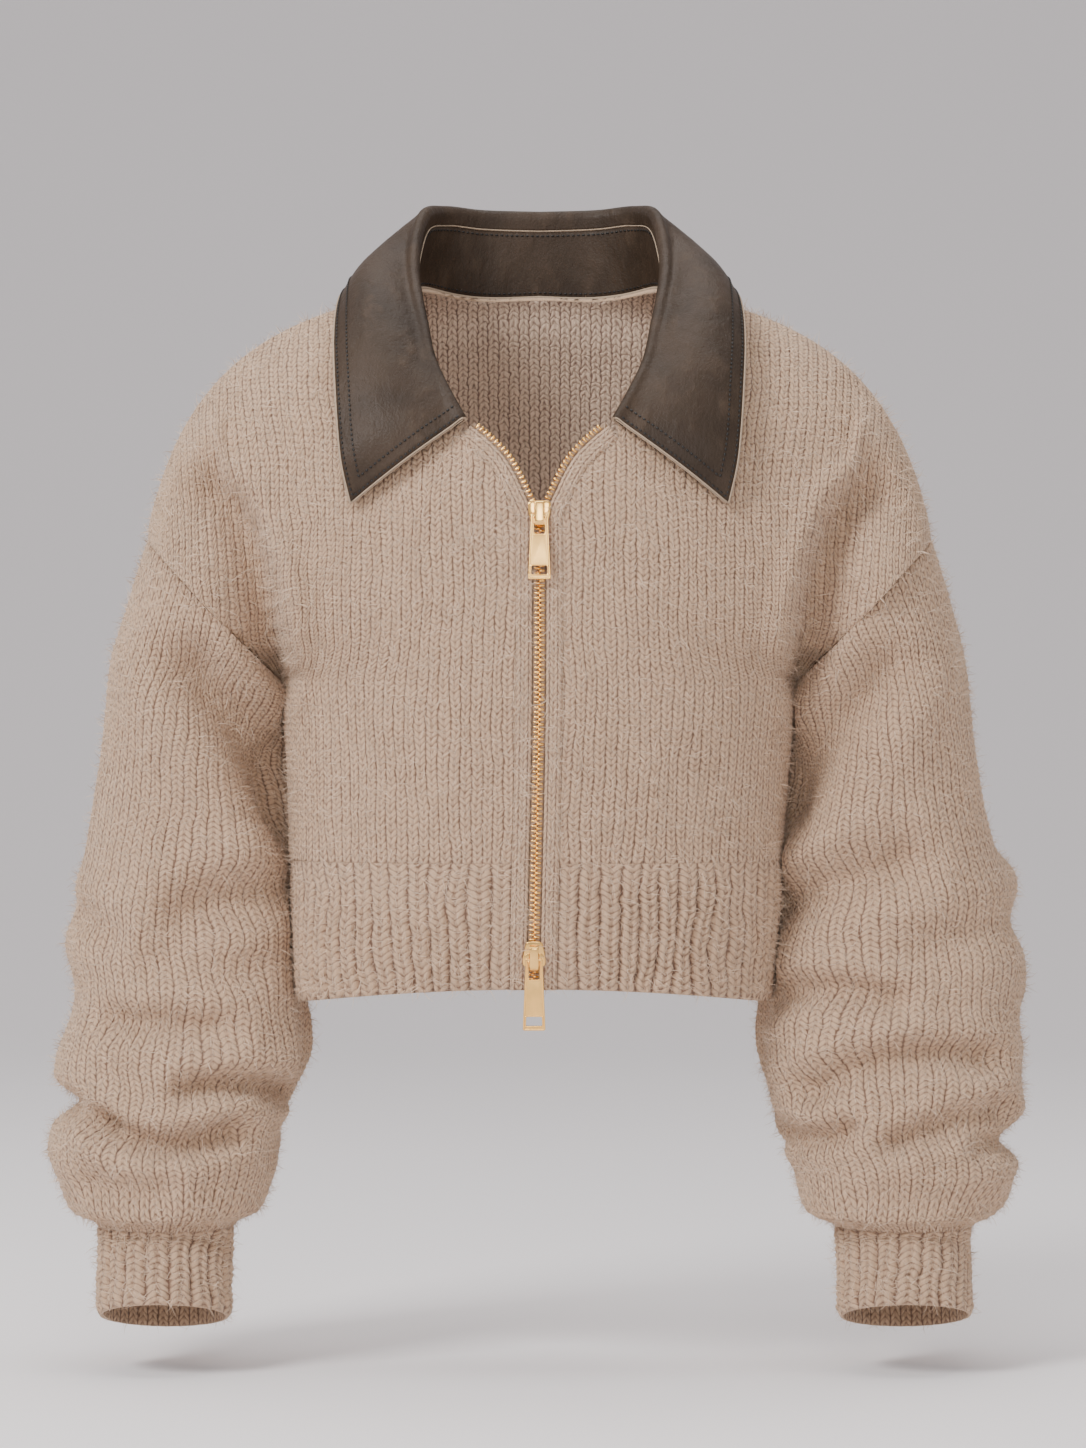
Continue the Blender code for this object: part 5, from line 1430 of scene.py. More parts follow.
def parallel_path(grid, inset, first_row):
    """Places on a leaf that lie inset from its lower edge and from both of its front edges, in order."""
    rows, columns = grid.shape[:2]
    down = np.linalg.norm(np.diff(grid, axis=0), axis=-1)
    to_edge = np.concatenate([down[::-1].cumsum(axis=0)[::-1], np.zeros((1, columns))])
    along = np.linalg.norm(np.diff(grid, axis=1), axis=-1)
    from_right = np.concatenate([np.zeros((rows, 1)), along.cumsum(axis=1)], axis=1)
    from_left = np.concatenate([along[:, ::-1].cumsum(axis=1)[:, ::-1], np.zeros((rows, 1))], axis=1)
    lower = np.array([np.interp(inset, to_edge[::-1, c], np.arange(rows)[::-1]) for c in range(columns)])
    column = np.arange(columns, dtype=float)
    ends = np.minimum(from_right, from_left)
    there = np.array([np.interp(lower[c], np.arange(rows), ends[:, c]) for c in range(columns)]) >= inset
    row_list = np.arange(first_row, rows)
    right = np.array([np.interp(inset, from_right[r], column) for r in row_list])
    left = np.array([np.interp(-inset, -from_left[r], column) for r in row_list])
    depth = lambda r, c: read_grid(to_edge[..., None], r.astype(float), c)[..., 0]
    keep_right, keep_left = depth(row_list, right) >= inset, depth(row_list, left) >= inset
    path_row = np.concatenate([row_list[keep_right], lower[there], row_list[keep_left][::-1]]).astype(float)
    path_column = np.concatenate([right[keep_right], column[there], left[keep_left][::-1]])
    return path_row, path_column


def sewn(grid, row, column, pitch, outward):
    """Points every pitch along a path on a grid, with their directions forward and out of the face."""
    place = read_grid(grid, row, column)
    run = np.concatenate([[0], np.linalg.norm(np.diff(place, axis=0), axis=1).cumsum()])
    at = np.arange(pitch / 2, run[-1], pitch)
    row, column = np.interp(at, run, row), np.interp(at, run, column)
    spot = read_grid(grid, row, column)
    slope_u, slope_v = np.gradient(grid, axis=1), np.gradient(grid, axis=0)
    normal = unit(np.cross(read_grid(slope_u, row, column), read_grid(slope_v, row, column))) * outward
    return spot, unit(np.gradient(spot, axis=0)), normal


def lofted(name, sections, sides=8, power=2.6):
    """A small closed solid along X through rounded sections of half sizes in Y and Z."""
    angle = np.linspace(0, 2 * np.pi, sides, endpoint=False) + np.pi / sides
    c, s = np.cos(angle), np.sin(angle)
    size = (np.abs(c) ** power + np.abs(s) ** power) ** (-1 / power)
    rings = [points(x, y * c * size, z * s * size) for x, y, z in sections]
    count = len(rings)
    faces = [
        [r * sides + k, r * sides + (k + 1) % sides, (r + 1) * sides + (k + 1) % sides, (r + 1) * sides + k]
        for r in range(count - 1)
        for k in range(sides)
    ]
    faces += [list(range(sides))[::-1], list(range((count - 1) * sides, count * sides))]
    mesh = bpy.data.meshes.new(name)
    mesh.from_pydata((np.concatenate(rings) * MM).tolist(), [], faces)
    shape = bmesh.new()
    shape.from_mesh(mesh)
    bmesh.ops.recalc_face_normals(shape, faces=shape.faces)
    shape.to_mesh(mesh)
    shape.free()
    mesh.polygons.foreach_set("use_smooth", [True] * len(mesh.polygons))
    return bpy.data.objects.new(name, mesh)


def strip(name, along, side, profile, finish, wave=None):
    """A closed strip along the zip line through a profile of (offset, height) pairs."""
    across, row = beside_zip(along, side)
    centre = torso_normal(np.clip(across, 0, 1), row, FRONT, side)
    rings = []
    for k, (offset, height) in enumerate(profile):
        raised = height + (wave(k) if wave else 0)
        rings.append(offset_place(along, side, offset) + np.reshape(raised, (-1, 1)) * centre)
    grid = np.swapaxes(np.array(rings), 0, 1)
    size = len(profile)
    run = np.concatenate([[0], np.linalg.norm(np.diff(grid[0], axis=0), axis=1).cumsum()])
    faces, uv = [], []
    for r in range(len(grid) - 1):
        for k in range(size):
            other = (k + 1) % size
            faces.append([r * size + k, r * size + other, (r + 1) * size + other, (r + 1) * size + k])
            low, high = run[k], run[k + 1] if k + 1 < size else run[k] + 1
            uv += [(low / BAND_WALE, along[r] / COURSE), (high / BAND_WALE, along[r] / COURSE),
                   (high / BAND_WALE, along[r + 1] / COURSE), (low / BAND_WALE, along[r + 1] / COURSE)]
    last = (len(grid) - 1) * size
    faces += [list(range(size))[::-1], [last + k for k in range(size)]]
    uv += [(0.25, 0.25)] * (2 * size)
    obj = new_mesh(name, grid.reshape(-1, 3), faces, finish, uv)
    shape = bmesh.new()
    shape.from_mesh(obj.data)
    bmesh.ops.recalc_face_normals(shape, faces=shape.faces)
    shape.to_mesh(obj.data)
    shape.free()
    return obj


# ---------------------------------------------------------------- the pieces

WALES = {FRONT: 31, "shoulder": 49, "sleeve": 60}
COURSES = {"body": 100, "sleeve": 108, "hem": 19, "cuff": 14}
COURSE = 4.4
BAND_WALE = 5.5
TAPE_PROFILE = ((1.3, -0.5), (4.1, -0.5), (4.4, -3.4), (14, -3.4), (14, -4.4), (3.7, -4.4), (3.2, -1.6), (1.3, -1.6))
TOOTH = ((-2.0, 0.4, 0.5), (-1.6, 0.95, 1.1), (-0.7, 1.2, 1.5), (0.3, 0.9, 1.2), (1.5, 0.85, 1.1), (2.2, 0.6, 0.8))
THREAD = ((-1.0, 0.3, 0.2), (-0.6, 0.62, 0.45), (0.6, 0.62, 0.45), (1.0, 0.3, 0.2))
made = {}


def rounded(outline, radius, steps=4):
    """An outline with an arc at each corner."""
    turned = []
    for k, corner in enumerate(outline):
        corner = np.array(corner, float)
        before, after = np.array(outline[k - 1]) - corner, np.array(outline[(k + 1) % len(outline)]) - corner
        before_length, after_length = np.linalg.norm(before), np.linalg.norm(after)
        reach = min(radius, before_length / 2.2, after_length / 2.2)
        a, b = corner + before / before_length * reach, corner + after / after_length * reach
        turned += [(1 - t) ** 2 * a + 2 * t * (1 - t) * corner + t * t * b for t in np.linspace(0, 1, steps + 1)]
    return turned


def wound(outline, way):
    """The outline turned to run anticlockwise for 1, clockwise for -1."""
    x, y = np.array(outline).T
    area = (x * np.roll(y, -1) - y * np.roll(x, -1)).sum()
    return outline if area * way > 0 else outline[::-1]


def cast_plate(outline, holes, thick, edge, matrix):
    """A closed plate with rounded edges, cut to an outline and its holes, centred on its own plane."""
    curve = bpy.data.curves.new("plate", "CURVE")
    curve.dimensions, curve.fill_mode = "2D", "BOTH"
    curve.extrude, curve.bevel_depth, curve.bevel_resolution = (thick / 2 - edge) * MM, edge * MM, 2
    curve.offset = -edge * MM
    for ring in [wound(outline, 1)] + [wound(hole, -1) for hole in holes]:
        line = curve.splines.new("POLY")
        line.points.add(len(ring) - 1)
        for point, at in zip(line.points, ring):
            point.co = (at[0] * MM, at[1] * MM, 0, 1)
        line.use_cyclic_u = True
    obj = bpy.data.objects.new("plate", curve)
    bpy.context.scene.collection.objects.link(obj)
    bpy.context.view_layer.update()
    mesh = bpy.data.meshes.new_from_object(obj.evaluated_get(bpy.context.evaluated_depsgraph_get()))
    bpy.data.objects.remove(obj)
    mesh.transform(matrix)
    return mesh


def cast(name, parts, metals):
    """One piece from overlapping closed castings, each with the number of its finish."""
    whole = bmesh.new()
    for mesh, finish in parts:
        shape = bmesh.new()
        shape.from_mesh(mesh)
        bmesh.ops.remove_doubles(shape, verts=shape.verts, dist=1e-6)
        bmesh.ops.recalc_face_normals(shape, faces=shape.faces)
        for face in shape.faces:
            face.material_index, face.smooth = finish, True
        shape.to_mesh(mesh)
        shape.free()
        whole.from_mesh(mesh)
    mesh = bpy.data.meshes.new(name)
    whole.to_mesh(mesh)
    whole.free()
    for metal in metals:
        mesh.materials.append(metal)
    mesh.set_sharp_from_angle(angle=math.radians(50))
    obj = bpy.data.objects.new(name, mesh)
    bpy.context.scene.collection.objects.link(obj)
    return obj


def bar(half_length, half_high, half_deep, matrix):
    """A closed round bar along X with softened ends."""
    ends = ((-1, 0.7), (-0.93, 1), (0.93, 1), (1, 0.7))
    shape = lofted("bar", [(x * half_length, s * half_high, s * half_deep) for x, s in ends], 12, 2.0)
    mesh = shape.data
    bpy.data.objects.remove(shape)
    mesh.transform(matrix)
    return mesh


def finished(obj, node, body="garment"):
    """Puts a piece on its body in place of a node."""
    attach(obj, body)
    if node:
        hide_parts(node)
    made[obj.name] = obj
    return obj


def finish_named(name):
    return bpy.data.materials[name]


class CARDIGAN_OT_finishes(bpy.types.Operator):
    """Make the knit, leather, thread, tape and metal finishes"""

    bl_idname = "cardigan.finishes"
    bl_label = "Finishes"

    def execute(self, context):
        knit, leather, zips = context.scene.cardigan_knit, context.scene.cardigan_leather, context.scene.cardigan_zip
        brushed_stockinette("brushed_stockinette", knit)
        brushed_stockinette("brushed_rib", knit, slant=0.5, tint_and_painted_light=(0.97, 0.97, 0.97))
        # The reverse side is paler yarn, and is made lighter still as painted light that stands in for light inside the
        # garment.
        brushed_stockinette("reverse_stockinette", knit, -0.4, (1.3, 1.42, 1.6), 2.4)
        brushed_fibre("brushed_fibre", knit)
        soft_nappa("soft_nappa", leather)
        cut_hide_edge("cut_hide_edge", leather)
        polyester_thread("polyester_thread", leather)
        herringbone_tape("herringbone_tape", zips)
        pale_gold_plate("pale_gold_polished", zips, 0.2)
        pale_gold_plate("pale_gold_satin", zips, 0.34, 0.15)
        return {"FINISHED"}


class CARDIGAN_OT_body(bpy.types.Operator):
    """Knit the two fronts and the back"""

    bl_idname = "cardigan.body"
    bl_label = "Fronts and Back"

    def execute(self, context):
        relief = context.scene.cardigan_knit.relief / MM
        finish, reverse = finish_named("brushed_stockinette"), finish_named("reverse_stockinette")
        for side in (LEFT, RIGHT):
            face = torso_face(FRONT, side)
            rows_at, across_at = front_start(side)
            span = dict(u_span=(0, WALES["shoulder"] / WALES[FRONT]), pace=even_wales(FRONT, side),
                        start=lambda v: np.interp(v, rows_at, across_at))
            outer = stitched(face, WALES["shoulder"], COURSES["body"], STITCH, relief, **span, seed=20 + side,
                             seams=(0.2, 0.2, 0.1, 0.3), lift=1.0)
            inner = plain(face, WALES["shoulder"], COURSES["body"], KNIT, **span)
            piece = cloth(f"knit_front_{SIDE_NAMES[side]}", outer, inner, finish, reverse)
            finished(piece, f"front_{SIDE_NAMES[side]}")
        face = torso_face(BACK, LEFT)
        pace = even_wales(BACK, LEFT)
        rows = np.linspace(NECK_BACK_ROW, 1, 60)
        edge = np.array([back_start(r, LEFT) for r in rows]) / pace(rows)
        reach = WALES["shoulder"] / WALES[FRONT]
        span = dict(u_span=(-reach, reach), pace=pace, stop=lambda u: np.interp(u, edge, rows, right=1))
        outer = stitched(face, 2 * WALES["shoulder"], COURSES["body"], STITCH, relief, **span, seed=31,
                         seams=(0.2, 0.2, 0.1, 0.3), lift=1.0)
        inner = plain(face, 2 * WALES["shoulder"], COURSES["body"], KNIT, **span)
        piece = cloth("knit_back", outer, inner, finish, reverse)
        finished(piece, "back")
        return {"FINISHED"}


class CARDIGAN_OT_ribs(bpy.types.Operator):
    """Knit the hem's ribs and the two cuffs"""

    bl_idname = "cardigan.ribs"
    bl_label = "Hem and Cuffs"

    def execute(self, context):
        relief = context.scene.cardigan_knit.relief / MM * 1.5
        finish = finish_named("brushed_rib")
        for side in (LEFT, RIGHT):
            face = torso_face(FRONT, side)
            rows_at, across_at = front_start(side)
            start = float(np.interp(-0.1, rows_at, across_at))
            span = ((start, 1), (HEM_ROW, 0))
            outer = stitched(face, RIBS[FRONT], COURSES["hem"], RIB, relief, *span, seed=40 + side,
                             seams=(0.3, 0.3, 1.4, 0.1), lift=0.6, fade=4)
            inner = plain(face, 2 * RIBS[FRONT], COURSES["hem"], KNIT + 0.4, *span)
            piece = cloth(f"rib_hem_{SIDE_NAMES[side]}", outer, inner, finish)
            finished(piece, f"hem_rib_{SIDE_NAMES[side]}")
        face = torso_face(BACK, LEFT)
        span = ((-1, 1), (HEM_ROW, 0))
        outer = stitched(face, 2 * RIBS[BACK], COURSES["hem"], RIB, relief, *span, seed=44,
                         seams=(0.3, 0.3, 1.4, 0.1), lift=0.6, fade=4)
        inner = plain(face, 4 * RIBS[BACK], COURSES["hem"], KNIT + 0.4, *span)
        finished(cloth("rib_hem_back", outer, inner, finish), "hem_rib_back")
        for side in (LEFT, RIGHT):
            face = cuff_face(side)
            outer = stitched(face, CUFF_RIBS, COURSES["cuff"], RIB, relief, seed=50 + side, tube=True,
                             seams=(0, 0, 0.3, 1.4), lift=0.5)
            inner = plain(face, 2 * CUFF_RIBS, COURSES["cuff"], KNIT, tube=True)
            piece = cloth(f"rib_cuff_{SIDE_NAMES[side]}", outer, inner, finish)
            finished(piece, f"cuff_{SIDE_NAMES[side]}")
        return {"FINISHED"}


class CARDIGAN_OT_sleeves(bpy.types.Operator):
    """Knit the two balloon sleeves with their creases"""

    bl_idname = "cardigan.sleeves"
    bl_label = "Sleeves"

    def execute(self, context):
        relief = context.scene.cardigan_knit.relief / MM
        for side in (LEFT, RIGHT):
            face = sleeve_face(side)
            outer = stitched(face, WALES["sleeve"], COURSES["sleeve"], STITCH, relief, seed=60 + side, tube=True,
                             seams=(0, 0, 0.3, 0.3), lift=1.0)
            inner = plain(face, WALES["sleeve"], COURSES["sleeve"], KNIT, tube=True)
            piece = cloth(f"knit_sleeve_{SIDE_NAMES[side]}", outer, inner, finish_named("brushed_stockinette"))
            finished(piece, f"sleeve_{SIDE_NAMES[side]}")
        return {"FINISHED"}


class CARDIGAN_OT_bands(bpy.types.Operator):
    """Knit the two bands beside the zip"""

    bl_idname = "cardigan.bands"
    bl_label = "Front Bands"

    def execute(self, context):
        relief = context.scene.cardigan_knit.relief / MM
        end = ZIP_LINE["along"][-1]
        along = np.linspace(0, end, 2 * round(end / COURSE) + 1)
        odd = np.arange(len(along)) % 2
        finish = finish_named("brushed_stockinette")
        for side in (LEFT, RIGHT):
            profile = [(4.7, -2.9), (4.6, -1.2)]
            offsets = np.linspace(4.7, 15.5, 9)
            crown = 0.5 + 0.7 * np.sin(np.pi * (offsets - 4.7) / 10.8) ** 0.7
            profile += list(zip(offsets, crown))
            profile += [(15.75, -0.7), (15.6, -2.9)]

            def wave(k):
                if not 2 <= k <= 10:
                    return 0.0
                c = (k - 2) % 4
                rough = 1 + 0.4 * uneven(np.full(len(along), k), np.arange(len(along)) / 2, 1, 1, 70 + side)
                return 0.35 * relief * rough * np.where(odd, STITCH["crest"][c], STITCH["rise"][c])

            piece = strip(f"knit_band_{SIDE_NAMES[side]}", along, side, profile, finish, wave)
            nap = piece.data.attributes.new("nap", "FLOAT", "POINT")
            shown = np.tile([0, 0, 0, 0.2, 0.7, 1, 1, 1, 1, 1, 1, 0, 0], len(along))
            nap.data.foreach_set("value", shown.astype(float))
            finished(piece, f"front_band_{SIDE_NAMES[side]}")
        return {"FINISHED"}


class CARDIGAN_OT_collar(bpy.types.Operator):
    """Make the leather collar's stand and leaf, with their raw edges and topstitching; the leaf's pale edge cords are
    partly painted highlight
    """

    bl_idname = "cardigan.collar"
    bl_label = "Leather Collar"

    def execute(self, context):
        leather = context.scene.cardigan_leather
        hide, raw = finish_named("soft_nappa"), finish_named("cut_hide_edge")
        stand, leaf = collar_grids()
        piece = leather_wall("leather_stand", *stand, hide, raw)
        finished(piece, "collar_stand")
        piece = leather_wall("leather_leaf", *leaf, hide, raw)
        finished(piece, "collar_leaf")
        path, way, off = hem_of(*leaf)
        # Two pale cords show the cut edges of the leaf's two layers, and stand in partly as painted highlight along
        # their rims.
        for name, across, below, wide, high in (("upper", 0.4, 0.2, 0.55, 0.45), ("lower", 1.0, 1.7, 0.5, 0.5)):
            edge = cord(f"leaf_{name}_edge", path + across * way - below * off, way, off, wide, high, raw)
            finished(edge, None)
        outside, inside = stand
        low = inside[0] - 0.2 * unit(inside[1] - inside[0])
        up, off = unit(inside[1] - inside[0]), unit(inside[0] - outside[0])
        finished(cord("stand_binding", low + 0.3 * off, off, up, 0.9, 1.5, raw), None)
        top = inside[-1] + 0.3 * off
        up = unit(inside[-1] - inside[-2])
        finished(cord("stand_seam_edge", top, off, up, 0.5, 0.45, raw), None)
        spots, aheads, outs = [], [], []
        for inset in (leather.seam_near / MM, leather.seam_far / MM):
            path = parallel_path(leaf[0], inset, 16)
            spot, ahead, out = sewn(leaf[0], *path, leather.stitch_pitch / MM, self.outward(*leaf))
            spots.append(spot + 0.35 * out)
            aheads.append(ahead)
            outs.append(out)
        inner = stand[1]
        columns = np.arange(4, inner.shape[1] - 4, dtype=float)
        for row in (0.9, inner.shape[0] - 1.7):
            out_way = -self.outward(*stand)
            spot, ahead, out = sewn(inner, np.full(len(columns), row), columns, leather.stitch_pitch / MM, out_way)
            spots.append(spot + 0.35 * out)
            aheads.append(ahead)
            outs.append(out)
        spots, aheads, outs = (np.concatenate(v) for v in (spots, aheads, outs))
        shape = lofted("thread_shape", THREAD, 6)
        forward = aheads
        points_mesh = carrier("topstitch_points", spots, np.cross(outs, forward), outs)
        tree = row_tree("topstitches", finish_named("polyester_thread"), shape)
        piece = grown("collar_topstitching", points_mesh, tree, {"Size": (1, 1, 1)}, finish_named("polyester_thread"))
        bpy.data.objects.remove(shape)
        finished(piece, None)
        return {"FINISHED"}

    @staticmethod
    def outward(outer, inner):
        middle = (outer.shape[0] // 2, outer.shape[1] // 4)
        a = outer[middle]
        way = np.cross(outer[middle[0], middle[1] + 1] - a, outer[middle[0] + 1, middle[1]] - a)
        return 1.0 if np.dot(way, a - inner[middle]) > 0 else -1.0


class CARDIGAN_OT_zip(bpy.types.Operator):
    """Make the woven tapes and their rows of metal teeth"""

    bl_idname = "cardigan.zip"
    bl_label = "Two-way Zip"

    def execute(self, context):
        zips = context.scene.cardigan_zip
        metal = finish_named("pale_gold_polished")
        end = ZIP_LINE["along"][-1]
        pitch = zips.tooth_pitch / MM
        shape = lofted("tooth_shape", TOOTH)
        tree = row_tree("zip_teeth", metal, shape)
        for side in (LEFT, RIGHT):
            along = np.linspace(0, end, 150)
            tape = strip(f"woven_tape_{SIDE_NAMES[side]}", along, side, TAPE_PROFILE, finish_named("herringbone_tape"))
            finished(tape, f"zip_tape_{SIDE_NAMES[side]}")
            at = np.arange(6 + (pitch / 2 if side == RIGHT else 0), end - 3, pitch)
            across, row = beside_zip(at, side)
            out = torso_normal(np.clip(across, 0, 1), row, FRONT, side)
            spot = offset_place(at, side, 1.4) - 0.9 * out
            ahead = unit(offset_place(at + 0.5, side, 1.4) - offset_place(at - 0.5, side, 1.4)) * side
            mesh = carrier(f"teeth_points_{SIDE_NAMES[side]}", spot, ahead, out)
            teeth = grown(f"zip_teeth_{SIDE_NAMES[side]}", mesh, tree, {"Size": (1, 1, 1)}, metal)
            finished(teeth, None)
        bpy.data.objects.remove(shape)
        return {"FINISHED"}


class CARDIGAN_OT_sliders(bpy.types.Operator):
    """Cast the two sliders and hang a pull tab from the bridge of each"""

    bl_idname = "cardigan.sliders"
    bl_label = "Sliders and Pulls"

    def execute(self, context):
        metals = [finish_named("pale_gold_polished"), finish_named("pale_gold_satin")]
        for name, top, flipped, length in ZIPS:
            place = zip_place(top)
            drop = PIVOT_DROP[flipped]
            body = cast(f"cast_slider_{name}", self.slider_parts(place, flipped, drop), metals)
            finished(body, f"slider_{name}")
            pivot = place @ Matrix.Translation((0, drop * MM, PIVOT_HEIGHT * MM))
            tab = cast(f"cast_pull_{name}", self.pull_parts(pivot, length), metals)
            finished(tab, f"pull_{name}", body=f"pull_{name}")
        return {"FINISHED"}

    @staticmethod
    def slider_parts(place, flipped, drop):
        """Front and back plates, two shoulders, the post between the tapes and the round bridge."""
        wide, narrow, length = SLIDER["wide"] / 2, SLIDER["narrow"] / 2, SLIDER["length"]
        front, plate, back = SLIDER["front"], SLIDER["plate"], SLIDER["back"]

        def turned(outline):
            return [(x, -length - y) for x, y in outline] if flipped else outline

        waist = -0.38 * length
        outline = [(-wide, 0), (wide, 0), (wide, waist), (narrow, -length), (-narrow, -length), (-wide, waist)]
        outline = rounded(turned(outline), 3.0)
        parts = []
        for height in (front + plate / 2, back - plate / 2):
            parts.append((cast_plate(outline, [], plate, 0.5, place @ Matrix.Translation((0, 0, height * MM))), 0))
        for side in (-1, 1):
            pad = rounded(turned([(2.2 * side, -0.6), (7.0 * side, -0.9), (6.6 * side, -8.0), (2.6 * side, -9.6)]), 3.2)
            moved = place @ Matrix.Translation((0, 0, (front + plate) * MM))
            parts.append((cast_plate(pad, [], SHOULDER_THICK[flipped], 0.4, moved), 0))
        post_y = -length + POST["height"] / 2 + 0.3 if flipped else -POST["height"] / 2 - 0.3
        half_w, half_h = POST["width"] / 2, POST["height"] / 2
        foot, head = post_y - half_h, post_y + half_h
        post = [(-half_w, foot), (half_w, foot), (half_w, head), (-half_w, head)]
        moved = place @ Matrix.Translation((0, 0, (front + back) / 2 * MM))
        parts.append((cast_plate(rounded(post, 0.6), [], front - back + plate, 0.2, moved), 0))
        above, below = min(drop + BRIDGE["above"], -0.4), drop - BRIDGE["below"]
        low, high = BRIDGE["eye_low"], BRIDGE["reach"]
        eye_high, root = BRIDGE["eye_high"], front + 0.7
        arch = [(below, root), (below, 0.62 * high), (below + 2.2, high)]
        arch += [(above - 1.6, high), (above, 0.7 * high), (above, root)]
        eye = [(drop - 1.8, low), (above - 2.2, low), (above - 2.6, eye_high), (drop - 1.8, eye_high)]
        upright = place @ Matrix(((0, 0, 1, 0), (1, 0, 0, 0), (0, 1, 0, 0), (0, 0, 0, 1)))
        parts.append((cast_plate(rounded(arch, 2.4), [rounded(eye, 0.9)], BRIDGE["width"], 0.45, upright), 0))
        return parts

    @staticmethod
    def pull_parts(pivot, length):
        """A satin tab between raised polished rims, with a slot round the bridge, a window and the bar it swings on."""
        over, half_slot = TAB["over"], TAB["slot"] / 2

        def tab(inset):
            top, bottom = TAB["top"] / 2 - inset, TAB["bottom"] / 2 - inset
            low = over - length + inset
            corners = [(-top, over - inset), (top, over - inset), (bottom, low), (-bottom, low)]
            return rounded(corners, max(1.4 - inset, 0.5))

        def slot(grow):
            low, high = -TAB["slot_end"] - grow, -over + min(grow, 0.3)
            half = half_slot + grow
            return rounded([(-half, high), (half, high), (half, low), (-half, low)], 1.2)

        def window(grow):
            high = over - length + WINDOW["above_end"]
            low = high - WINDOW["high"] - grow
            top, bottom = WINDOW["half_top"] + grow, WINDOW["half_bottom"] + grow
            corners = [(-top, high + grow), (top, high + grow), (bottom, low), (-bottom, low)]
            return rounded(corners, 0.9 + grow / 2)

        thick = TAB["thick"]
        return [
            (cast_plate(tab(0.5), [slot(0.3), window(0.3)], 0.9, 0.15, pivot), 1),
            (cast_plate(tab(0), [tab(RIM)], thick, 0.45, pivot), 0),
            (cast_plate(slot(FRAME_RIM), [slot(0)], thick - 0.1, 0.35, pivot), 0),
            (cast_plate(window(FRAME_RIM), [window(0)], thick - 0.2, 0.35, pivot), 0),
            (bar(TAB["top"] / 2 - 0.3, 0.85, 0.8, pivot), 0),
        ]


class CARDIGAN_OT_nap(bpy.types.Operator):
    """Brush up the nap on every knitted piece"""

    bl_idname = "cardigan.nap"
    bl_label = "Brushed Nap"

    def execute(self, context):
        knit = context.scene.cardigan_knit
        finish = finish_named("brushed_fibre")
        tree = nap_tree(finish)
        cover = tree_of([made["leather_leaf"], made["leather_stand"]])
        pieces = [n for n in made if n.startswith(("knit_", "rib_"))]
        for k, name in enumerate(pieces):
            obj = made[name]
            if name in ("knit_front_left", "knit_front_right", "knit_back"):
                self.mask_under(obj, cover)
            host = obj.data.copy()
            dense = 2.5 if name.startswith("knit_band") else 1.0
            values = {"Density": dense * knit.nap_density, "Length": knit.nap_length}
            values.update({"Width": knit.nap_width, "Seed": 7 + k})
            piece = grown(f"nap_{name}", host, tree, values, finish)
            finished(piece, None)
        return {"FINISHED"}

    @staticmethod
    def mask_under(obj, cover):
        """Lays the nap flat, so grows none, where leather lies over the cloth."""
        mesh = obj.data
        nap = np.zeros(len(mesh.vertices), np.float32)
        mesh.attributes["nap"].data.foreach_get("value", nap)
        for vertex in mesh.vertices:
            if nap[vertex.index] and vertex.co.z > -0.18:
                hit = cover.ray_cast(vertex.co / MM, vertex.normal, 11)
                near = cover.find_nearest(vertex.co / MM, 2.5)
                if hit[0] is not None or near[0] is not None:
                    nap[vertex.index] = 0
        mesh.attributes["nap"].data.foreach_set("value", nap)


# The sweep stands well clear on every side, so that the garment can be seen from behind as well.
SWEEP = dict(front=-7.5, back=7.5, bend=4.5, top=8.0, half_width=9.0)   # metres
VIEW_HEIGHT, VIEW_X, VIEW_Z = 0.9991, 0.0024, -0.2926   # metres shown at the zip, and the middle of the view
LIGHTS = (              # name, place, aim, size in metres, power in watts
    ("key_softbox", (-2.0, -2.2, 1.9), (0, 0, -0.2), 1.2, 108),
    ("fill_softbox", (2.6, -2.4, 0.9), (0, 0, -0.3), 2.2, 9),
    ("front_softbox", (0.1, -3.6, 0.9), (0, 0, -0.2), 1.2, 32),
    ("top_softbox", (0, 0.1, 2.4), (0, 0, -0.4), 2.4, 52),
)


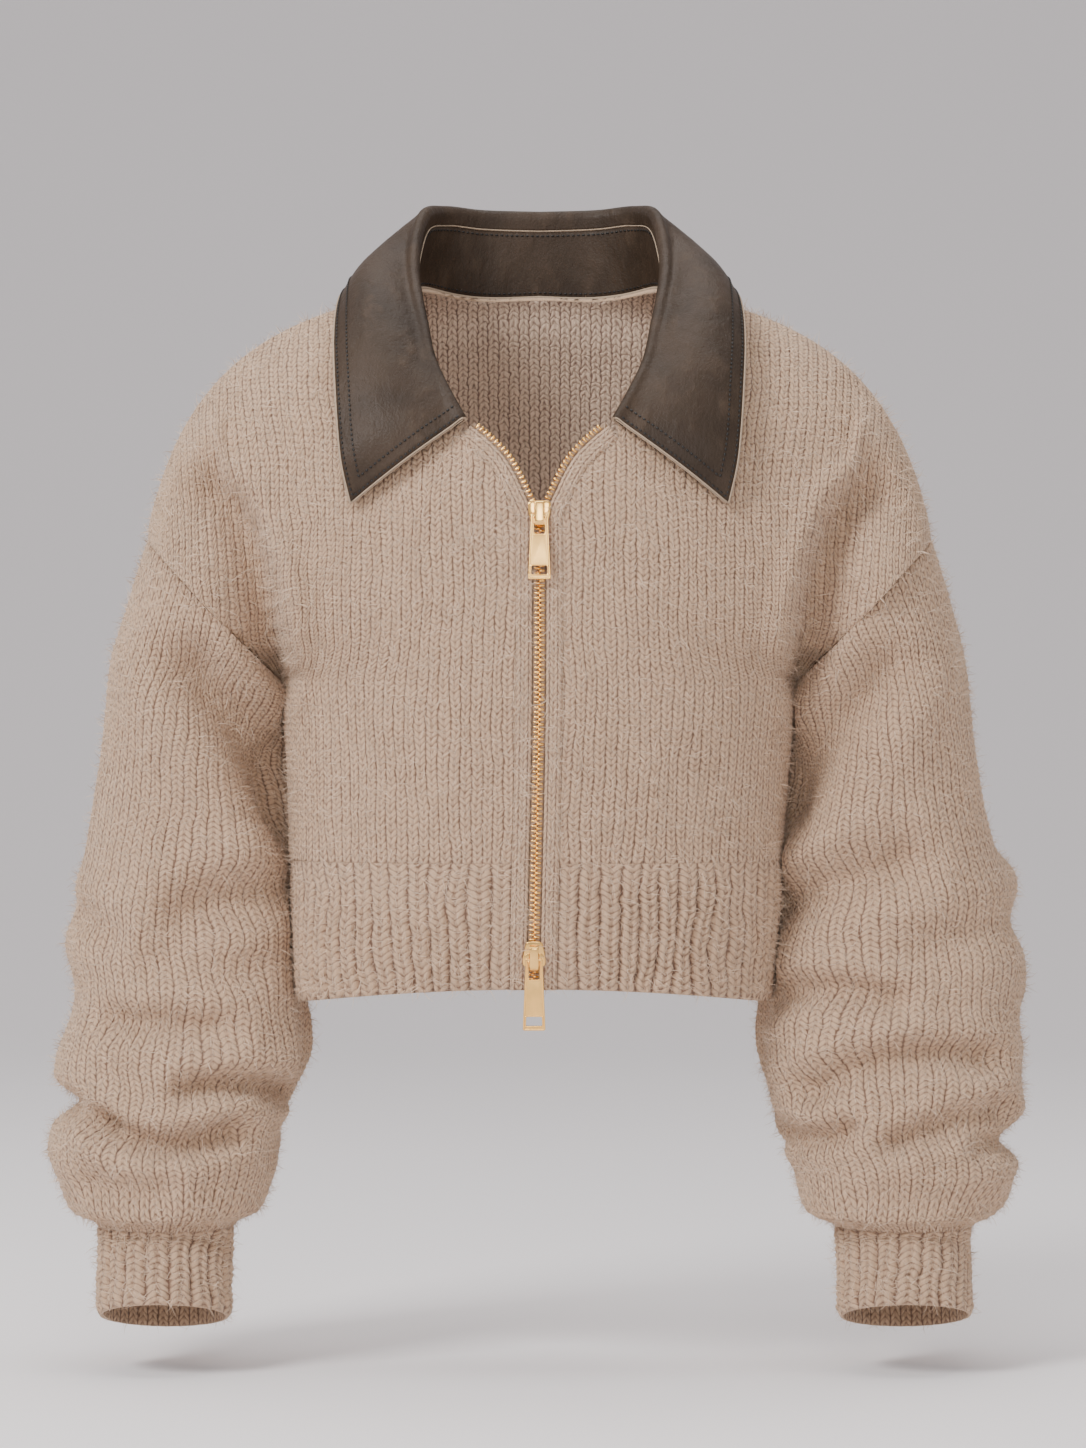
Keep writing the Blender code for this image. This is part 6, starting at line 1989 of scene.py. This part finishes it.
class CARDIGAN_OT_stage(bpy.types.Operator):
    """Set the paper sweep, the soft lights and the camera"""

    bl_idname = "cardigan.stage"
    bl_label = "Studio"

    def execute(self, context):
        stage = context.scene.cardigan_stage
        self.sweep(stage)
        self.lights()
        data = bpy.data.cameras.new("studio_camera")
        data.sensor_fit, data.sensor_height = "VERTICAL", 36
        data.lens = data.sensor_height * stage.distance / VIEW_HEIGHT
        camera = bpy.data.objects.new("studio_camera", data)
        camera.location = (VIEW_X, -stage.distance, VIEW_Z)
        camera.rotation_euler = (math.radians(90), 0, 0)
        context.scene.collection.objects.link(camera)
        context.scene.camera = camera
        return {"FINISHED"}

    @staticmethod
    def sweep(stage):
        floor, back, bend = stage.floor_height, SWEEP["back"], SWEEP["bend"]
        line = [(SWEEP["front"], floor), (back - bend, floor)]
        line += [(back - bend + bend * math.sin(a), floor + bend - bend * math.cos(a))
                 for a in np.linspace(0, math.pi / 2, 24)[1:]]
        line += [(back, SWEEP["top"])]
        vertices = [(x, y, z) for x in (-SWEEP["half_width"], SWEEP["half_width"]) for y, z in line]
        count = len(line)
        faces = [[k, count + k, count + k + 1, k + 1] for k in range(count - 1)]
        mesh = bpy.data.meshes.new("paper_sweep")
        mesh.from_pydata(vertices, [], faces)
        mesh.polygons.foreach_set("use_smooth", [True] * len(mesh.polygons))
        mesh.materials.append(seamless_paper("seamless_paper", stage))
        sweep = bpy.data.objects.new("paper_sweep", mesh)
        bpy.context.scene.collection.objects.link(sweep)

    @staticmethod
    def lights():
        world = bpy.data.worlds.new("studio_air")
        bpy.context.scene.world = world
        world.use_nodes = True
        world.node_tree.nodes["Background"].inputs["Color"].default_value = (*from_hex("DAD8DA"), 1)
        world.node_tree.nodes["Background"].inputs["Strength"].default_value = 0.75
        for name, place, aim, size, power in LIGHTS:
            data = bpy.data.lights.new(name, "AREA")
            data.size, data.energy = size, power
            light = bpy.data.objects.new(name, data)
            light.location = place
            light.rotation_euler = (Vector(aim) - Vector(place)).to_track_quat("-Z", "Y").to_euler()
            bpy.context.scene.collection.objects.link(light)


class CARDIGAN_PT_pieces(bpy.types.Panel):
    """Sizes and colours, and a button for each group of pieces"""

    bl_idname = "CARDIGAN_PT_pieces"
    bl_label = "Zip-up Cardigan"
    bl_space_type = "VIEW_3D"
    bl_region_type = "UI"
    bl_category = "Cardigan"

    def draw(self, context):
        for group in PROPERTY_GROUPS:
            box = self.layout.box()
            box.label(text=group)
            values = getattr(context.scene, group)
            for name in values.__annotations__:
                box.prop(values, name)
        for operator in OPERATORS:
            self.layout.operator(operator.bl_idname)


PROPERTY_GROUPS = {
    "cardigan_knit": KnitSettings,
    "cardigan_leather": LeatherSettings,
    "cardigan_zip": ZipSettings,
    "cardigan_stage": StageSettings,
}
OPERATORS = (
    CARDIGAN_OT_stage, CARDIGAN_OT_finishes, CARDIGAN_OT_collar, CARDIGAN_OT_body, CARDIGAN_OT_bands,
    CARDIGAN_OT_ribs, CARDIGAN_OT_sleeves, CARDIGAN_OT_zip,
    CARDIGAN_OT_sliders, CARDIGAN_OT_nap,
)


def register():
    for group in PROPERTY_GROUPS.values():
        bpy.utils.register_class(group)
    for name, group in PROPERTY_GROUPS.items():
        setattr(bpy.types.Scene, name, PointerProperty(type=group))
    for kind in (*OPERATORS, CARDIGAN_PT_pieces):
        bpy.utils.register_class(kind)


def unregister():
    for kind in reversed((*OPERATORS, CARDIGAN_PT_pieces)):
        bpy.utils.unregister_class(kind)
    for name in PROPERTY_GROUPS:
        delattr(bpy.types.Scene, name)
    for group in PROPERTY_GROUPS.values():
        bpy.utils.unregister_class(group)


def main():
    register()
    for operator in OPERATORS:
        group, name = operator.bl_idname.split(".")
        getattr(getattr(bpy.ops, group), name)()


if __name__ == "__main__":
    main()
